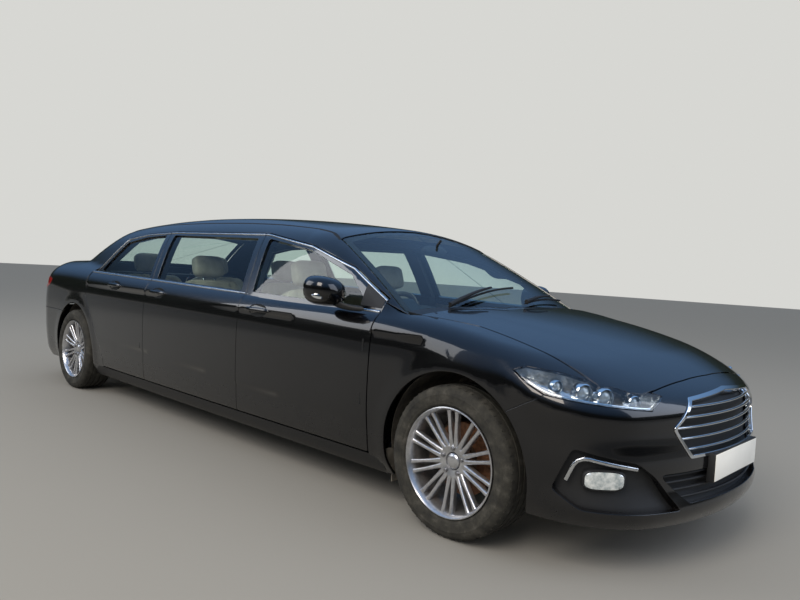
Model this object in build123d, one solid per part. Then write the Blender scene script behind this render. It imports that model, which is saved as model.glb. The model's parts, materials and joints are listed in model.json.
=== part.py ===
from build123d import *
from math import cos, hypot, pi, radians, sin, sqrt
import os

# A six-door limousine, in millimetres. +X is forward, +Y left and +Z up.
# The origin is on the ground, under the middle of the car.
os.makedirs("parts", exist_ok=True)

# Overall sizes
FRONT_OVERHANG = 905
WHEELBASE = 4130
REAR_OVERHANG = 1050
LENGTH = FRONT_OVERHANG + WHEELBASE + REAR_OVERHANG
FRONT_AXLE = LENGTH / 2 - FRONT_OVERHANG
REAR_AXLE = FRONT_AXLE - WHEELBASE
HALF_WIDTH = 926
FAR = 4000

# Wheels
TRACK = 1598
TYRE_RADIUS = 334
TYRE_WIDTH = 235
TYRE_SHOULDER = 24
RIM_RADIUS = 238
RIM_SEAT_RADIUS = 222
RIM_BARREL_RADIUS = 208
RIM_WIDTH = 214
SPOKE_PAIRS = 10
SPOKE_WIDTH = 15
SPOKE_DEPTH = 26
HUB_RADIUS = 70
DISC_RADIUS = 150
DISC_WIDTH = 24
STUD_COUNT = 5
STUD_CIRCLE_RADIUS = 54
CENTRE_BORE_RADIUS = 30
STUB_RADIUS = 22
STUB_CLEARANCE = 0.05
ARCH_RADIUS = 396
LINER_RADIUS = 402
LINER_WALL = 4
LINER_INNER_Y = 488
STEER_OFFSET = 60
STEER_BALL_RADIUS = 16

# Panel gaps and thicknesses
SHUT_GAP = 7
DOOR_THICK = 60
DOOR_LIP = 20
HINGE_SETBACK = 45
HINGE_Y = 914
HINGE_PIN_RADIUS = 5
HINGE_KNUCKLE_RADIUS = 10
HINGE_HEIGHTS = (520, 780)
HINGE_HALF = 30
HINGE_ARM_HALF = 12
PIN_CLEARANCE = 0.05
HANDLE_LENGTH = 240
HANDLE_FROM_REAR = 195
HANDLE_LEAN = 16
FRAME_THICK = 34
WING_THICK = 26
ROOF_THICK = 30
POST_GAP = 10
POST_THICK = 70
GLASS_THICK = 5
GLASS_INSET = 8
GLASS_CLEAR = 0.3

# Shut lines, measured forward from the front axle
FRONT_DOOR_FRONT = -512
FRONT_DOOR_REAR = -1643
MIDDLE_DOOR_REAR = -2848
REAR_DOOR_REAR = -3560
REAR_DOOR_TOP = -3925
PILLAR_LEAN = 0.20
DOOR_BOTTOM = 262
BELT = 965
CREASE = 880

# The plan outline of the lower body at each height:
# height, half width, nose ahead of the front axle, tail behind the rear axle
LOWER_LEVELS = [
    (170, 845, 852, 985),
    (255, 891, 905, 1018),
    (335, 905, 884, 1035),
    (440, 916, 880, 1045),
    (570, 922, 862, 1050),
    (695, HALF_WIDTH, 836, 1050),
    (785, HALF_WIDTH, 724, 1042),
    (CREASE, 922, 590, 1020),
]
SHOULDER_LEVELS = [LOWER_LEVELS[-1], (1010, 870, 430, 966), (1150, 720, 300, 930)]
NOSE_RADIUS = 1700
NOSE_CORNER_RADIUS = 420
SIDE_RADIUS = 150000
TAIL_RADIUS = 3500
TAIL_CORNER_RADIUS = 380

# The side glass line: height, half width
CABIN_LEVELS = [(880, 900), (BELT, 868), (1150, 790), (1335, 686), (1520, 520)]
CABIN_FRONT_RADIUS = 22000
CABIN_REAR_RADIUS = 9000
CABIN_STRAIGHT_FRONT = -1640
CABIN_STRAIGHT_REAR = -3050

# Side profiles of the cabin at several distances from the middle:
# distance, then (forward of the front axle, height) of the windscreen's base and header,
# the roof's peak, the rear window's header and base
CABIN_PROFILES = [
    (0, (-190, 945), (-1090, 1408), (-2500, 1482), (-3830, 1405), (-4620, 1060)),
    (420, (-220, 930), (-1110, 1386), (-2500, 1460), (-3820, 1383), (-4600, 1045)),
    (900, (-330, 906), (-1180, 1300), (-2500, 1385), (-3790, 1300), (-4520, 990)),
]
SCREEN_BULGE = 16
REAR_SCREEN_BULGE = 12
# Side profiles of the bonnet and the boot deck, in the same way
DECK_PROFILES = [
    (0, (1000, 702), (300, 896), (-600, 1015), (-4300, 1105), (-4750, 1096), (-5250, 1068)),
    (450, (1000, 655), (300, 883), (-600, 1002), (-4300, 1098), (-4750, 1089), (-5250, 1060)),
    (950, (1000, 560), (300, 808), (-600, 937), (-4300, 1040), (-4750, 1031), (-5250, 1000)),
]


def ahead(distance):
    """The X of a place measured forward from the front axle."""
    return FRONT_AXLE + distance


def toward(centre, point, radius):
    """The point at a radius from a centre, in the direction of another point."""
    dx, dy = point[0] - centre[0], point[1] - centre[1]
    length = hypot(dx, dy)
    return (centre[0] + dx * radius / length, centre[1] + dy * radius / length)


def tangent_centre(c1, r1, c2, r2, forward):
    """Where two circles cross, at the front or at the rear."""
    dx, dy = c2[0] - c1[0], c2[1] - c1[1]
    d = hypot(dx, dy)
    along = (r1 * r1 - r2 * r2 + d * d) / (2 * d)
    across = sqrt(r1 * r1 - along * along)
    mx, my = c1[0] + along * dx / d, c1[1] + along * dy / d
    found = [
        (mx + across * dy / d, my - across * dx / d),
        (mx - across * dy / d, my + across * dx / d),
    ]
    return max(found, key=lambda p: forward * p[0])


def plan_wire(level, inset):
    """The closed outline of the lower body at one height, from tangent arcs."""
    z, half, nose, tail = level
    nose_x, tail_x = FRONT_AXLE + nose, REAR_AXLE - tail
    nose_c, tail_c = (nose_x - NOSE_RADIUS, 0), (tail_x + TAIL_RADIUS, 0)
    side_c = (0, half - SIDE_RADIUS)
    front_c = tangent_centre(
        nose_c, NOSE_RADIUS - NOSE_CORNER_RADIUS, side_c, SIDE_RADIUS - NOSE_CORNER_RADIUS, 1
    )
    rear_c = tangent_centre(
        tail_c, TAIL_RADIUS - TAIL_CORNER_RADIUS, side_c, SIDE_RADIUS - TAIL_CORNER_RADIUS, -1
    )
    a = toward(nose_c, front_c, NOSE_RADIUS - inset)
    b = toward(side_c, front_c, SIDE_RADIUS - inset)
    c = toward(side_c, rear_c, SIDE_RADIUS - inset)
    d = toward(tail_c, rear_c, TAIL_RADIUS - inset)

    def middle(centre, p, q, radius):
        return toward(centre, ((p[0] + q[0]) / 2, (p[1] + q[1]) / 2), radius)

    ab = middle(front_c, a, b, NOSE_CORNER_RADIUS - inset)
    bc = middle(side_c, b, c, SIDE_RADIUS - inset)
    cd = middle(rear_c, c, d, TAIL_CORNER_RADIUS - inset)
    left = [(a, ab, b), (b, bc, c), (c, cd, d)]

    def at(p, side=1):
        return (p[0], side * p[1], z)

    edges = [ThreePointArc(at(a, -1), at((nose_x - inset, 0)), at(a))]
    edges += [ThreePointArc(at(p), at(m), at(q)) for p, m, q in left]
    edges += [ThreePointArc(at(d), at((tail_x + inset, 0)), at(d, -1))]
    edges += [ThreePointArc(at(q, -1), at(m, -1), at(p, -1)) for p, m, q in reversed(left)]
    return Wire(edges)


def lower_side(inset):
    """The solid inside the body's sides, nose and tail, up to above the boot."""
    body = Solid.make_loft([plan_wire(level, inset) for level in LOWER_LEVELS])
    shoulder = [plan_wire(level, inset) for level in SHOULDER_LEVELS]
    for low, high in zip(shoulder, shoulder[1:]):
        body += Solid.make_loft([low, high], ruled=True)
    return body


def cabin_wire(level, inset):
    """The outline of the cabin's sides at one height, open-ended past both screens."""
    z, half = level
    half -= inset
    x1, x2 = ahead(CABIN_STRAIGHT_FRONT), ahead(CABIN_STRAIGHT_REAR)
    front, rear = ahead(300), ahead(-5200)

    def front_y(x):
        return half - (x - x1) ** 2 / (2 * CABIN_FRONT_RADIUS)

    def rear_y(x):
        return half - (x - x2) ** 2 / (2 * CABIN_REAR_RADIUS)

    left = [
        ((front, front_y(front)), ((front + x1) / 2, front_y((front + x1) / 2)), (x1, half)),
        ((x2, half), ((rear + x2) / 2, rear_y((rear + x2) / 2)), (rear, rear_y(rear))),
    ]

    def at(p, side=1):
        return (p[0], side * p[1], z)

    edges = [ThreePointArc(*[at(p) for p in left[0]]), Line(at((x1, half)), at((x2, half)))]
    edges += [ThreePointArc(*[at(p) for p in left[1]])]
    edges += [Line(at(left[1][2]), at(left[1][2], -1))]
    edges += [ThreePointArc(*[at(p, -1) for p in reversed(left[1])])]
    edges += [Line(at((x2, half), -1), at((x1, half), -1))]
    edges += [ThreePointArc(*[at(p, -1) for p in reversed(left[0])])]
    edges += [Line(at(left[0][0], -1), at(left[0][0]))]
    return Wire(edges)


def cabin_side(inset):
    return Solid.make_loft([cabin_wire(level, inset) for level in CABIN_LEVELS])


def bulged(p, q, rise):
    """The middle point of an arc from p to q that stands up by rise."""
    dx, dz = q[0] - p[0], q[1] - p[1]
    length = hypot(dx, dz)
    side = 1 if dx < 0 else -1
    return ((p[0] + q[0]) / 2 + side * dz / length * rise, (p[1] + q[1]) / 2 - side * dx / length * rise)


def cabin_profile(row, inset):
    """The side view of windscreen, roof and rear window at one distance from the middle."""
    y, base, header, peak, rear_header, rear_base = row
    drop = inset * 1.15
    base, header = (base[0] - inset, base[1] - drop), (header[0] - inset / 2, header[1] - drop)
    peak = (peak[0], peak[1] - inset)
    rear_header = (rear_header[0] + inset / 3, rear_header[1] - drop)
    rear_base = (rear_base[0] + inset, rear_base[1] - drop)
    floor = 700

    def at(p, z=None):
        return (ahead(p[0]), y, p[1] if z is None else z)

    return Wire(
        [
            Line(at(base, floor), at(base)),
            ThreePointArc(at(base), at(bulged(base, header, SCREEN_BULGE)), at(header)),
            ThreePointArc(at(header), at(peak), at(rear_header)),
            ThreePointArc(at(rear_header), at(bulged(rear_header, rear_base, REAR_SCREEN_BULGE)), at(rear_base)),
            Line(at(rear_base), at(rear_base, floor)),
            Line(at(rear_base, floor), at(base, floor)),
        ]
    )


def deck_profile(row, inset):
    """The side view of the bonnet and the boot deck at one distance from the middle."""
    y, nose, bonnet, cowl, deck, boot, tail = row
    nose = (nose[0] - inset / 2, nose[1])
    points = [(p[0], p[1] - inset) for p in (nose, bonnet, cowl, deck, boot, tail)]
    floor = 60

    def at(p, z=None):
        return (ahead(p[0]), y, p[1] if z is None else z)

    nose, bonnet, cowl, deck, boot, tail = points
    return Wire(
        [
            Line(at(nose, floor), at(nose)),
            ThreePointArc(at(nose), at(bonnet), at(cowl)),
            Line(at(cowl), at(deck)),
            ThreePointArc(at(deck), at(boot), at(tail)),
            Line(at(tail), at(tail, floor)),
            Line(at(tail, floor), at(nose, floor)),
        ]
    )


def across(profile, rows, inset):
    """A loft of side profiles from the right side to the left."""
    mirrored = [(-row[0], *row[1:]) for row in reversed(rows[1:])]
    return Solid.make_loft([profile(row, inset) for row in mirrored + rows])


def tub(inset):
    """The lower body with its bonnet and boot deck."""
    return lower_side(inset) & across(deck_profile, DECK_PROFILES, inset)


def cabin(inset):
    """The cabin above the belt, with its two screens and the roof."""
    return cabin_side(inset) & across(cabin_profile, CABIN_PROFILES, inset)


def side_cut(points, y_from=-FAR, y_to=FAR):
    """A prism across the car whose side view is a polygon of (forward, height)."""
    face = Face(Wire.make_polygon([(ahead(x), y_from, z) for x, z in points]))
    return Solid.extrude(face, (0, y_to - y_from, 0))


def top_cut(points, z_from=-FAR, z_to=FAR):
    """A prism upwards whose plan is a polygon of (forward, left)."""
    face = Face(Wire.make_polygon([(ahead(x), y, z_from) for x, y in points]))
    return Solid.extrude(face, (0, 0, z_to - z_from))


def block(x1, x2, y1, y2, z1, z2):
    """A box between two places, with X measured forward from the front axle."""
    return Pos(ahead((x1 + x2) / 2), (y1 + y2) / 2, (z1 + z2) / 2) * Box(abs(x2 - x1), abs(y2 - y1), abs(z2 - z1))


def tube_y(x, y1, y2, z, radius):
    """A cylinder across the car, with X in the car's frame."""
    return Pos(x, (y1 + y2) / 2, z) * Rot(90, 0, 0) * Cylinder(radius, abs(y2 - y1))


def write(name, shape):
    solids = [s for s in shape.solids() if s.volume > 50]
    export_step(Compound(children=solids) if len(solids) > 1 else solids[0], f"parts/{name}.step")



def belt_z(x):
    """The height of the belt line, which rises to the rear."""
    return 941 + (-402 - x) * 0.017


def rounded(points, z_from, z_to):
    """A prism upwards from arcs and lines in plan: a point, or a pair (point, middle of the arc to it)."""
    edges = []
    last = points[-1][0] if isinstance(points[-1][0], tuple) else points[-1]
    for item in points:
        end, middle = item if isinstance(item[0], tuple) else (item, None)
        a, b = (ahead(last[0]), last[1], z_from), (ahead(end[0]), end[1], z_from)
        if middle:
            edges.append(ThreePointArc(a, (ahead(middle[0]), middle[1], z_from), b))
        else:
            edges.append(Line(a, b))
        last = end
    return Solid.extrude(Face(Wire(edges)), (0, 0, z_to - z_from))


def both(shape):
    """A left-hand piece with its mirror image on the right."""
    return shape + mirror(shape, about=Plane.XZ)


# Layers of the body that the panels are cut from
TUB = tub(0)
TUB_WING = tub(WING_THICK)
SIDE = lower_side(0)
SIDE_DOOR = lower_side(DOOR_THICK)
SIDE_POST = lower_side(DOOR_THICK + POST_GAP)
SIDE_CABIN = lower_side(DOOR_THICK + POST_GAP + POST_THICK)
CABIN = cabin(0)
CABIN_FRAME = cabin(FRAME_THICK)
CABIN_ROOF = cabin(ROOF_THICK)
CABIN_POST = cabin(FRAME_THICK + POST_GAP)
CABIN_INNER = cabin(FRAME_THICK + POST_GAP + POST_THICK / 2)
CABIN_GLASS = cabin(GLASS_INSET)
CABIN_GLASS_BACK = cabin(GLASS_INSET + GLASS_THICK)
BELOW_BELT = side_cut([(2000, -200), (2000, belt_z(2000)), (-6000, belt_z(-6000)), (-6000, -200)])
WING_SKIN = TUB - TUB_WING
DOOR_SKIN = (SIDE - SIDE_DOOR) & BELOW_BELT
FRAME_SKIN = CABIN - CABIN_FRAME - BELOW_BELT
ROOF_SKIN = CABIN - CABIN_ROOF - BELOW_BELT
GLASS_SKIN = CABIN_GLASS - CABIN_GLASS_BACK

# The doors' top edge in side view
RAIL_POINTS = [(-500, 1006), (-800, 1156), (-1200, 1266), (-1690, 1336), (-2850, 1345), (-3270, 1328), (-3575, 1290)]
DOOR_ROWS = [
    ("front", FRONT_DOOR_FRONT, FRONT_DOOR_REAR),
    ("middle", FRONT_DOOR_REAR, MIDDLE_DOOR_REAR),
    ("rear", MIDDLE_DOOR_REAR, REAR_DOOR_REAR),
]
# Where the body's side passes under each handle: height, half width
HANDLE_SPOTS = {"front": (876, 906), "middle": (900, 897), "rear": (914, 893)}


def shut_x(line, z):
    """A shut line between doors: upright below the belt, leaning back above it."""
    return line - max(0, z - BELT) * PILLAR_LEAN


def rail_z(x):
    for (x1, z1), (x2, z2) in zip(RAIL_POINTS, RAIL_POINTS[1:]):
        if x2 <= x <= x1:
            return z1 + (z2 - z1) * (x - x1) / (x2 - x1)
    return RAIL_POINTS[-1][1]


def door_view(front, rear, edge, front_edge=None):
    """A door's outline in side view, drawn in by an edge all round."""
    ahead_edge = edge if front_edge is None else front_edge
    low = DOOR_BOTTOM + edge
    points = [(front - ahead_edge, low), (front - ahead_edge, BELT)]
    if front == FRONT_DOOR_FRONT:
        top_from = RAIL_POINTS[0][0] - ahead_edge
        points += [(top_from, rail_z(top_from) - edge)]
    else:
        top_from = shut_x(front, 1340) - ahead_edge
        points += [(top_from, rail_z(top_from) - edge)]
    if rear == REAR_DOOR_REAR:
        points += [(x, z - edge) for x, z in RAIL_POINTS[1:-1] if x < top_from]
        points += [(RAIL_POINTS[-1][0] + edge, RAIL_POINTS[-1][1] - edge)]
        points += [(REAR_DOOR_TOP + edge * 1.3, BELT + 40), (REAR_DOOR_TOP + 25 + edge * 1.3, 800)]
        points += [(rear - 195 + edge * 1.3, 610), (rear - 40 + edge * 1.3, 400), (rear + edge, 320), (rear + edge, low)]
    else:
        top_to = shut_x(rear, 1340) + edge
        points += [(x, z - edge) for x, z in RAIL_POINTS if top_to < x < top_from]
        points += [(top_to, rail_z(top_to) - edge), (rear + edge, BELT), (rear + edge, low)]
    return points


def window_view(front, rear):
    """A door window's outline in side view."""
    if front == FRONT_DOOR_FRONT:
        points = [(-600, belt_z(-600) + 14), (-800, 1156 - 40), (-1200, 1266 - 26)]
    else:
        points = [(front - 58, belt_z(front) + 14), (shut_x(front, 1310) - 58, rail_z(front) - 26)]
    if rear == REAR_DOOR_REAR:
        points += [(-3270, 1328 - 26), (-3560, 1290 - 34), (REAR_DOOR_TOP + 90, belt_z(-3840) + 14)]
    else:
        points += [(shut_x(rear, 1310) + 58, rail_z(rear) - 26), (rear + 58, belt_z(rear) + 14)]
    return points


def hinge_x(front):
    return front - HINGE_SETBACK


def door(row, front, rear):
    """A left-hand door: lower shell, window frame, hinge knuckles and handle."""
    outline = side_cut(door_view(front, rear, SHUT_GAP / 2), 560, FAR)
    axis_x = hinge_x(front)
    flange = block(axis_x, front + 200, 560, FAR, 0, 1290)
    shell = (DOOR_SKIN & outline) - (SIDE_FLANGE & flange)
    frame = (FRAME_SKIN & outline) - side_cut(window_view(front, rear)) - (CABIN_FLANGE & flange)
    shell += frame
    knuckles = None
    for z in HINGE_HEIGHTS:
        notch = block(axis_x - 16, axis_x + 30, 700, HINGE_Y - HINGE_KNUCKLE_RADIUS, z - HINGE_HALF - 6, z + HINGE_HALF + 6)
        shell -= notch
        core = Pos(ahead(axis_x), HINGE_Y, z) * Cylinder(HINGE_KNUCKLE_RADIUS, 2 * HINGE_HALF)
        core += block(axis_x - 16, axis_x, HINGE_Y - HINGE_KNUCKLE_RADIUS, HINGE_Y, z - HINGE_HALF, z + HINGE_HALF)
        core &= SIDE
        shell += core
        shell -= block(axis_x - 16, axis_x + 30, 700, HINGE_Y + HINGE_KNUCKLE_RADIUS - 3, z - HINGE_ARM_HALF - 1, z + HINGE_ARM_HALF + 1)
        slanted = [(axis_x + 29, 700), (axis_x + 29, HINGE_Y - 6), (axis_x + 60, HINGE_Y - 20.5), (axis_x + 60, 700)]
        shell -= top_cut(slanted, z - HINGE_ARM_HALF - 1, z + HINGE_ARM_HALF + 1)
        shell -= Pos(ahead(axis_x), HINGE_Y, z) * Cylinder(HINGE_PIN_RADIUS + PIN_CLEARANCE, 2 * HINGE_HALF + 2)
    handle_z, handle_y = HANDLE_SPOTS[row]
    grip = Pos(ahead(rear + HANDLE_FROM_REAR), handle_y, handle_z) * Rot(HANDLE_LEAN, 0, 0)
    cup = grip * Pos(0, 4, 0) * scale(Sphere(1), by=(HANDLE_LENGTH / 2 - 20, 26, 36))
    bar = Box(HANDLE_LENGTH, 18, 26)
    bar = grip * Pos(0, 4, 2) * fillet(bar.edges(), 5)
    shell = shell - cup + bar
    if front == FRONT_DOOR_FRONT:
        shell -= SCREEN_HOLE
    return shell


def hinge_arms(front):
    """The post's halves of a door's two hinges, with their pins, on the left."""
    x = ahead(hinge_x(front))
    arms = None
    for z in HINGE_HEIGHTS:
        arm = Pos(x, (HINGE_Y + 815) / 2, z) * Box(9, HINGE_Y - 815, 2 * HINGE_ARM_HALF)
        arm += Pos(x, HINGE_Y, z) * Cylinder(HINGE_PIN_RADIUS, 2 * HINGE_HALF)
        arms = arm if arms is None else arms + arm
    return arms


SCREEN_OUTLINE = [
    (-1042, 655), ((-1042, -655), (-1082, 0)), (-345, -812), ((-345, 812), (-205, 0)),
]
REAR_SCREEN_OUTLINE = [
    (-4510, 690), ((-4510, -690), (-4585, 0)), (-3862, -560), ((-3862, 560), (-3850, 0)),
]
SCREEN_HOLE = rounded(SCREEN_OUTLINE, 700, 1600)
REAR_SCREEN_HOLE = rounded(REAR_SCREEN_OUTLINE, 700, 1600)
SIDE_FLANGE = lower_side(DOOR_LIP)
CABIN_FLANGE = cabin(DOOR_LIP - 4)

# Doors and their glass
for row, front, rear in DOOR_ROWS:
    left = door(row, front, rear)
    glass = GLASS_SKIN & side_cut(window_view(front, rear), 560, FAR)
    write(f"{row}_door_left", left)
    write(f"{row}_door_right", mirror(left, about=Plane.XZ))
    write(f"{row}_window_left", glass)
    write(f"{row}_window_right", mirror(glass, about=Plane.XZ))


# Bonnet and boot lid outlines in plan, and the openings of the screens
BONNET_OUTLINE = [
    (706, 480), ((706, -480), (730, 0)), (730, -718), (0, -722), (-292, -800),
    ((-292, 800), (-215, 0)), (0, 722), (730, 718),
]
BONNET_EDGE = [(-400, 946), (349, 805), (471, 793), (549, 776), (622, 764), (680, 749), (720, 733), (900, 700)]
BONNET_GAP = 10
BONNET_PIVOT = (-400, 905)
BONNET_ARM_Y = 700
LID_GAP = 12
LID_PIVOT = (-4689, 1062)
# Half width, radius about the hinge: the lid's front edge is bevelled below, so that it swings clear
LID_BEVEL_ROWS = [(230, 56), (345, 50), (411, 45.5)]
LID_SIDE_Y = 660
LID_SIDE_RADIUS = 20.5
LID_ARM_Y = 600
ARM_THICK = 12
ARM_PIN_RADIUS = 5
LID_OUTLINE = [
    (-4705, 655), ((-4705, -655), (-4742, 0)), (-5060, -640), (-5400, -600), (-5400, 600), (-5060, 640),
]


def grown(points, front_gap, rear_gap):
    """The outline of an opening that stands a shut gap outside its lid."""
    cx = sum((p[0][0] if isinstance(p[0], tuple) else p[0]) for p in points) / len(points)

    def out(q):
        gap = SHUT_GAP
        dx = front_gap if q[0] > cx else -rear_gap
        dy = 0 if abs(q[1]) < 1 else (gap if q[1] > 0 else -gap)
        return (q[0] + dx, q[1] + dy)

    return [(out(p[0]), out(p[1])) if isinstance(p[0], tuple) else out(p) for p in points]


BONNET_CUT = rounded(BONNET_OUTLINE, 600, 1200) & side_cut(BONNET_EDGE + [(900, 1300), (-400, 1300)])
BONNET_HOLE = rounded(grown(BONNET_OUTLINE, SHUT_GAP, BONNET_GAP), 600, 1200)
BONNET_HOLE &= side_cut([(x, z - SHUT_GAP) for x, z in BONNET_EDGE] + [(900, 1300), (-400, 1300)])
LID_CUT = rounded(LID_OUTLINE, 700, 1300)
LID_HOLE = rounded(grown(LID_OUTLINE, LID_GAP, SHUT_GAP), 693, 1300)

# Front wings, bumpers and lamps in side view and from the front
COWL_HALF = 795
SLIVER = 0.3
BUMPER_BACK = 402
BUMPER_BOTTOM = 205
LAMP_THICK = 90
LAMP_POINTS = [(303, 779), (349, 796), (471, 784), (549, 767), (622, 755), (680, 740), (716, 724), (742, 712), (800, 700)]
LAMP_POINTS += [(800, 664), (745, 668), (690, 674), (572, 688), (453, 704), (370, 738)]
LAMP_INNER_Y = 520
BUMPER_EDGE = [(298, 616), (453, 704), (572, 688), (690, 674), (745, 668), (1000, 668), (1000, 100), (300, 100)]
GRILLE_POINTS = [(-476, 585), (-346, 691), (0, 712), (346, 691), (476, 585), (385, 470), (-385, 470)]
INTAKE_POINTS = [(-570, 414), (570, 414), (412, 290), (-412, 290)]
FOG_POINTS = [(560, 512), (600, 520), (779, 486), (820, 430), (848, 300), (800, 262), (605, 285), (495, 349), (530, 440)]
FOG_INNER_LINE = [(FAR, 600), (740, 600), (690, 480), (600, 412), (462, 262), (462, 200), (FAR, 200)]
GRILLE_BARS = 5
TAIL_LAMP_POINTS = [(-4700, 905), (-4900, 945), (-5300, 960), (-5300, 770), (-5000, 790), (-4800, 840)]
TAIL_LAMP_INNER_Y = 664
REAR_BUMPER_TOP = 640


def front_cut(points, x_from, x_to):
    """A prism along the car whose front view is a polygon of (left, height)."""
    face = Face(Wire.make_polygon([(ahead(x_from), y, z) for y, z in points]))
    return Solid.extrude(face, (x_to - x_from, 0, 0))


def wheel_hole(axle_x, radius):
    return tube_y(axle_x, -FAR, FAR, TYRE_RADIUS, radius)


HALF_GAP = SHUT_GAP / 2
lamp_hole = side_cut(LAMP_POINTS, LAMP_INNER_Y, FAR)
nose_zone = rounded([(706, 480), ((706, -480), (730, 0)), (735, -700), (1200, -700), (1200, 700), (735, 700)], 100, 1000)
bumper_zone = side_cut(BUMPER_EDGE) + nose_zone
wing = (WING_SKIN & block(FRONT_DOOR_FRONT + HALF_GAP, 1000, 300, FAR, 264, 1100)) - bumper_zone
wing = wing - wheel_hole(FRONT_AXLE, ARCH_RADIUS) - BONNET_HOLE - lamp_hole - CABIN
wing -= block(-600, -150, 0, COWL_HALF + SLIVER, 700, 1100)
front_wings = both(wing)
write("front_wings", front_wings)

px, pz = BONNET_PIVOT
lug_y = BONNET_ARM_Y + ARM_THICK + 2
lug = block(px - 32, px + 12, lug_y, lug_y + 10, pz - 16, pz + 14)
lug += Pos(ahead(px), BONNET_ARM_Y + ARM_THICK / 2 + 6, pz) * Rot(90, 0, 0) * Cylinder(ARM_PIN_RADIUS, ARM_THICK + 14)
cowl = (WING_SKIN & block(-560, -200, -COWL_HALF, COWL_HALF, 800, 1100)) - BONNET_HOLE - CABIN
write("cowl", cowl)

ARM_VIEW = [(0, 14), (-12, 6), (-12, -6), (30, -82), (54, -110), (158, -110), (184, -70), (184, 40), (168, 40), (168, -66), (150, -92), (62, -92), (46, -76), (14, -4)]
arm = side_cut([(px + x, pz + z) for x, z in ARM_VIEW], BONNET_ARM_Y, BONNET_ARM_Y + ARM_THICK)
arm -= tube_y(ahead(px), 690, 800, pz, ARM_PIN_RADIUS + PIN_CLEARANCE)
arm &= TUB
bonnet = (WING_SKIN & BONNET_CUT) - block(-2000, 1200, -FAR, FAR, 0, 700)
write("bonnet", bonnet + both(arm))

grille_hole = front_cut(GRILLE_POINTS, 500, 1200)
intake_hole = front_cut(INTAKE_POINTS, 500, 1200)
fog_hole = side_cut(FOG_POINTS, 0, FAR) & front_cut(FOG_INNER_LINE, 300, 1200)
front_bumper = (WING_SKIN & bumper_zone) - wheel_hole(FRONT_AXLE, ARCH_RADIUS) - BONNET_HOLE - block(0, 1200, -FAR, FAR, 0, BUMPER_BOTTOM)
front_bumper = front_bumper - grille_hole - intake_hole - both(lamp_hole) - both(fog_hole)
write("front_bumper", front_bumper)

lamp = (TUB - tub(LAMP_THICK)) & lamp_hole
fog = (tub(20) - tub(60)) & fog_hole
write("front_lamps", both(lamp) + both(fog))

grille_front, grille_back, mesh_back = TUB, tub(36), tub(48)
inner_points = [(y * 0.93, 585 + (z - 585) * 0.84) for y, z in GRILLE_POINTS]
grille = (grille_hole & (grille_front - grille_back)) - front_cut(inner_points, 400, 1300)
bars = block(500, 1200, -FAR, FAR, 500 - 7, 500 + 7)
for i in range(1, GRILLE_BARS):
    bars += block(500, 1200, -FAR, FAR, 493 + i * 42, 507 + i * 42)
grille += bars & grille_hole & (grille_front - grille_back)
grille += grille_hole & (grille_back - mesh_back)
write("grille", grille + (intake_hole & (grille_back - mesh_back)))

# Rear end
tail_lamp_hole = side_cut(TAIL_LAMP_POINTS, TAIL_LAMP_INNER_Y, FAR)
rear_door_hole = side_cut(door_view(MIDDLE_DOOR_REAR, REAR_DOOR_REAR, -HALF_GAP))
rear_bumper_zone = block(-4130 - BUMPER_BACK, -5400, -FAR, FAR, 100, REAR_BUMPER_TOP)
quarter = WING_SKIN & block(-3400, -5400, 500, FAR, 264, 1200)
quarter = quarter - rear_bumper_zone - wheel_hole(REAR_AXLE, ARCH_RADIUS) - LID_HOLE - tail_lamp_hole
quarter = quarter - rear_door_hole - CABIN - block(-3400, -5400, -FAR, FAR, 0, 264)
pillar = (ROOF_SKIN & block(-3590, -4700, 545, FAR, 900, 1500)) - rear_door_hole - REAR_SCREEN_HOLE
tail_panel = (WING_SKIN & block(-4560, -5400, -FAR, FAR, REAR_BUMPER_TOP, 1200)) - LID_HOLE - CABIN
tail_panel = tail_panel - both(tail_lamp_hole) - block(-4500, -5600, 500, FAR, 0, 2000) - block(-4500, -5600, -500, -FAR, 0, 2000)
write("rear_bumper", (WING_SKIN & rear_bumper_zone) - wheel_hole(REAR_AXLE, ARCH_RADIUS))
lid_x, lid_z = LID_PIVOT
lid_arm = block(lid_x - 60, lid_x, LID_ARM_Y, LID_ARM_Y + ARM_THICK, lid_z - 7, lid_z + 7)
lid_arm += tube_y(ahead(lid_x), LID_ARM_Y, LID_ARM_Y + ARM_THICK, lid_z, 9)
lid_arm -= tube_y(ahead(lid_x), 500, 700, lid_z, ARM_PIN_RADIUS + PIN_CLEARANCE)
lid_skin = WING_SKIN & LID_CUT
for half_width, radius in LID_BEVEL_ROWS:
    lid_skin -= tube_y(ahead(lid_x), -half_width, half_width, lid_z, radius)
bevel = Pos(ahead(lid_x), (half_width + LID_SIDE_Y) / 2, lid_z) * Rot(-90, 0, 0)
bevel *= Cone(radius, LID_SIDE_RADIUS, LID_SIDE_Y - half_width)
lid_skin -= both(bevel)
write("boot_lid", lid_skin + both(lid_arm))
lid_notch = block(lid_x - 30, lid_x + 16, LID_ARM_Y - 6, LID_ARM_Y + ARM_THICK + 2, 1000, 1200)
lid_lug = tube_y(ahead(lid_x), LID_ARM_Y - 4, LID_ARM_Y + ARM_THICK + 6, lid_z, ARM_PIN_RADIUS)
lid_lug += block(lid_x - 6, lid_x + 18, LID_ARM_Y + ARM_THICK + 2, LID_ARM_Y + ARM_THICK + 12, lid_z - 30, lid_z + 4)
rear_body = both(quarter + pillar) + tail_panel - both(lid_notch) + both(lid_lug)
write("rear_quarters", rear_body)
write("tail_lamps", both((TUB - tub(60)) & tail_lamp_hole))

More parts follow.
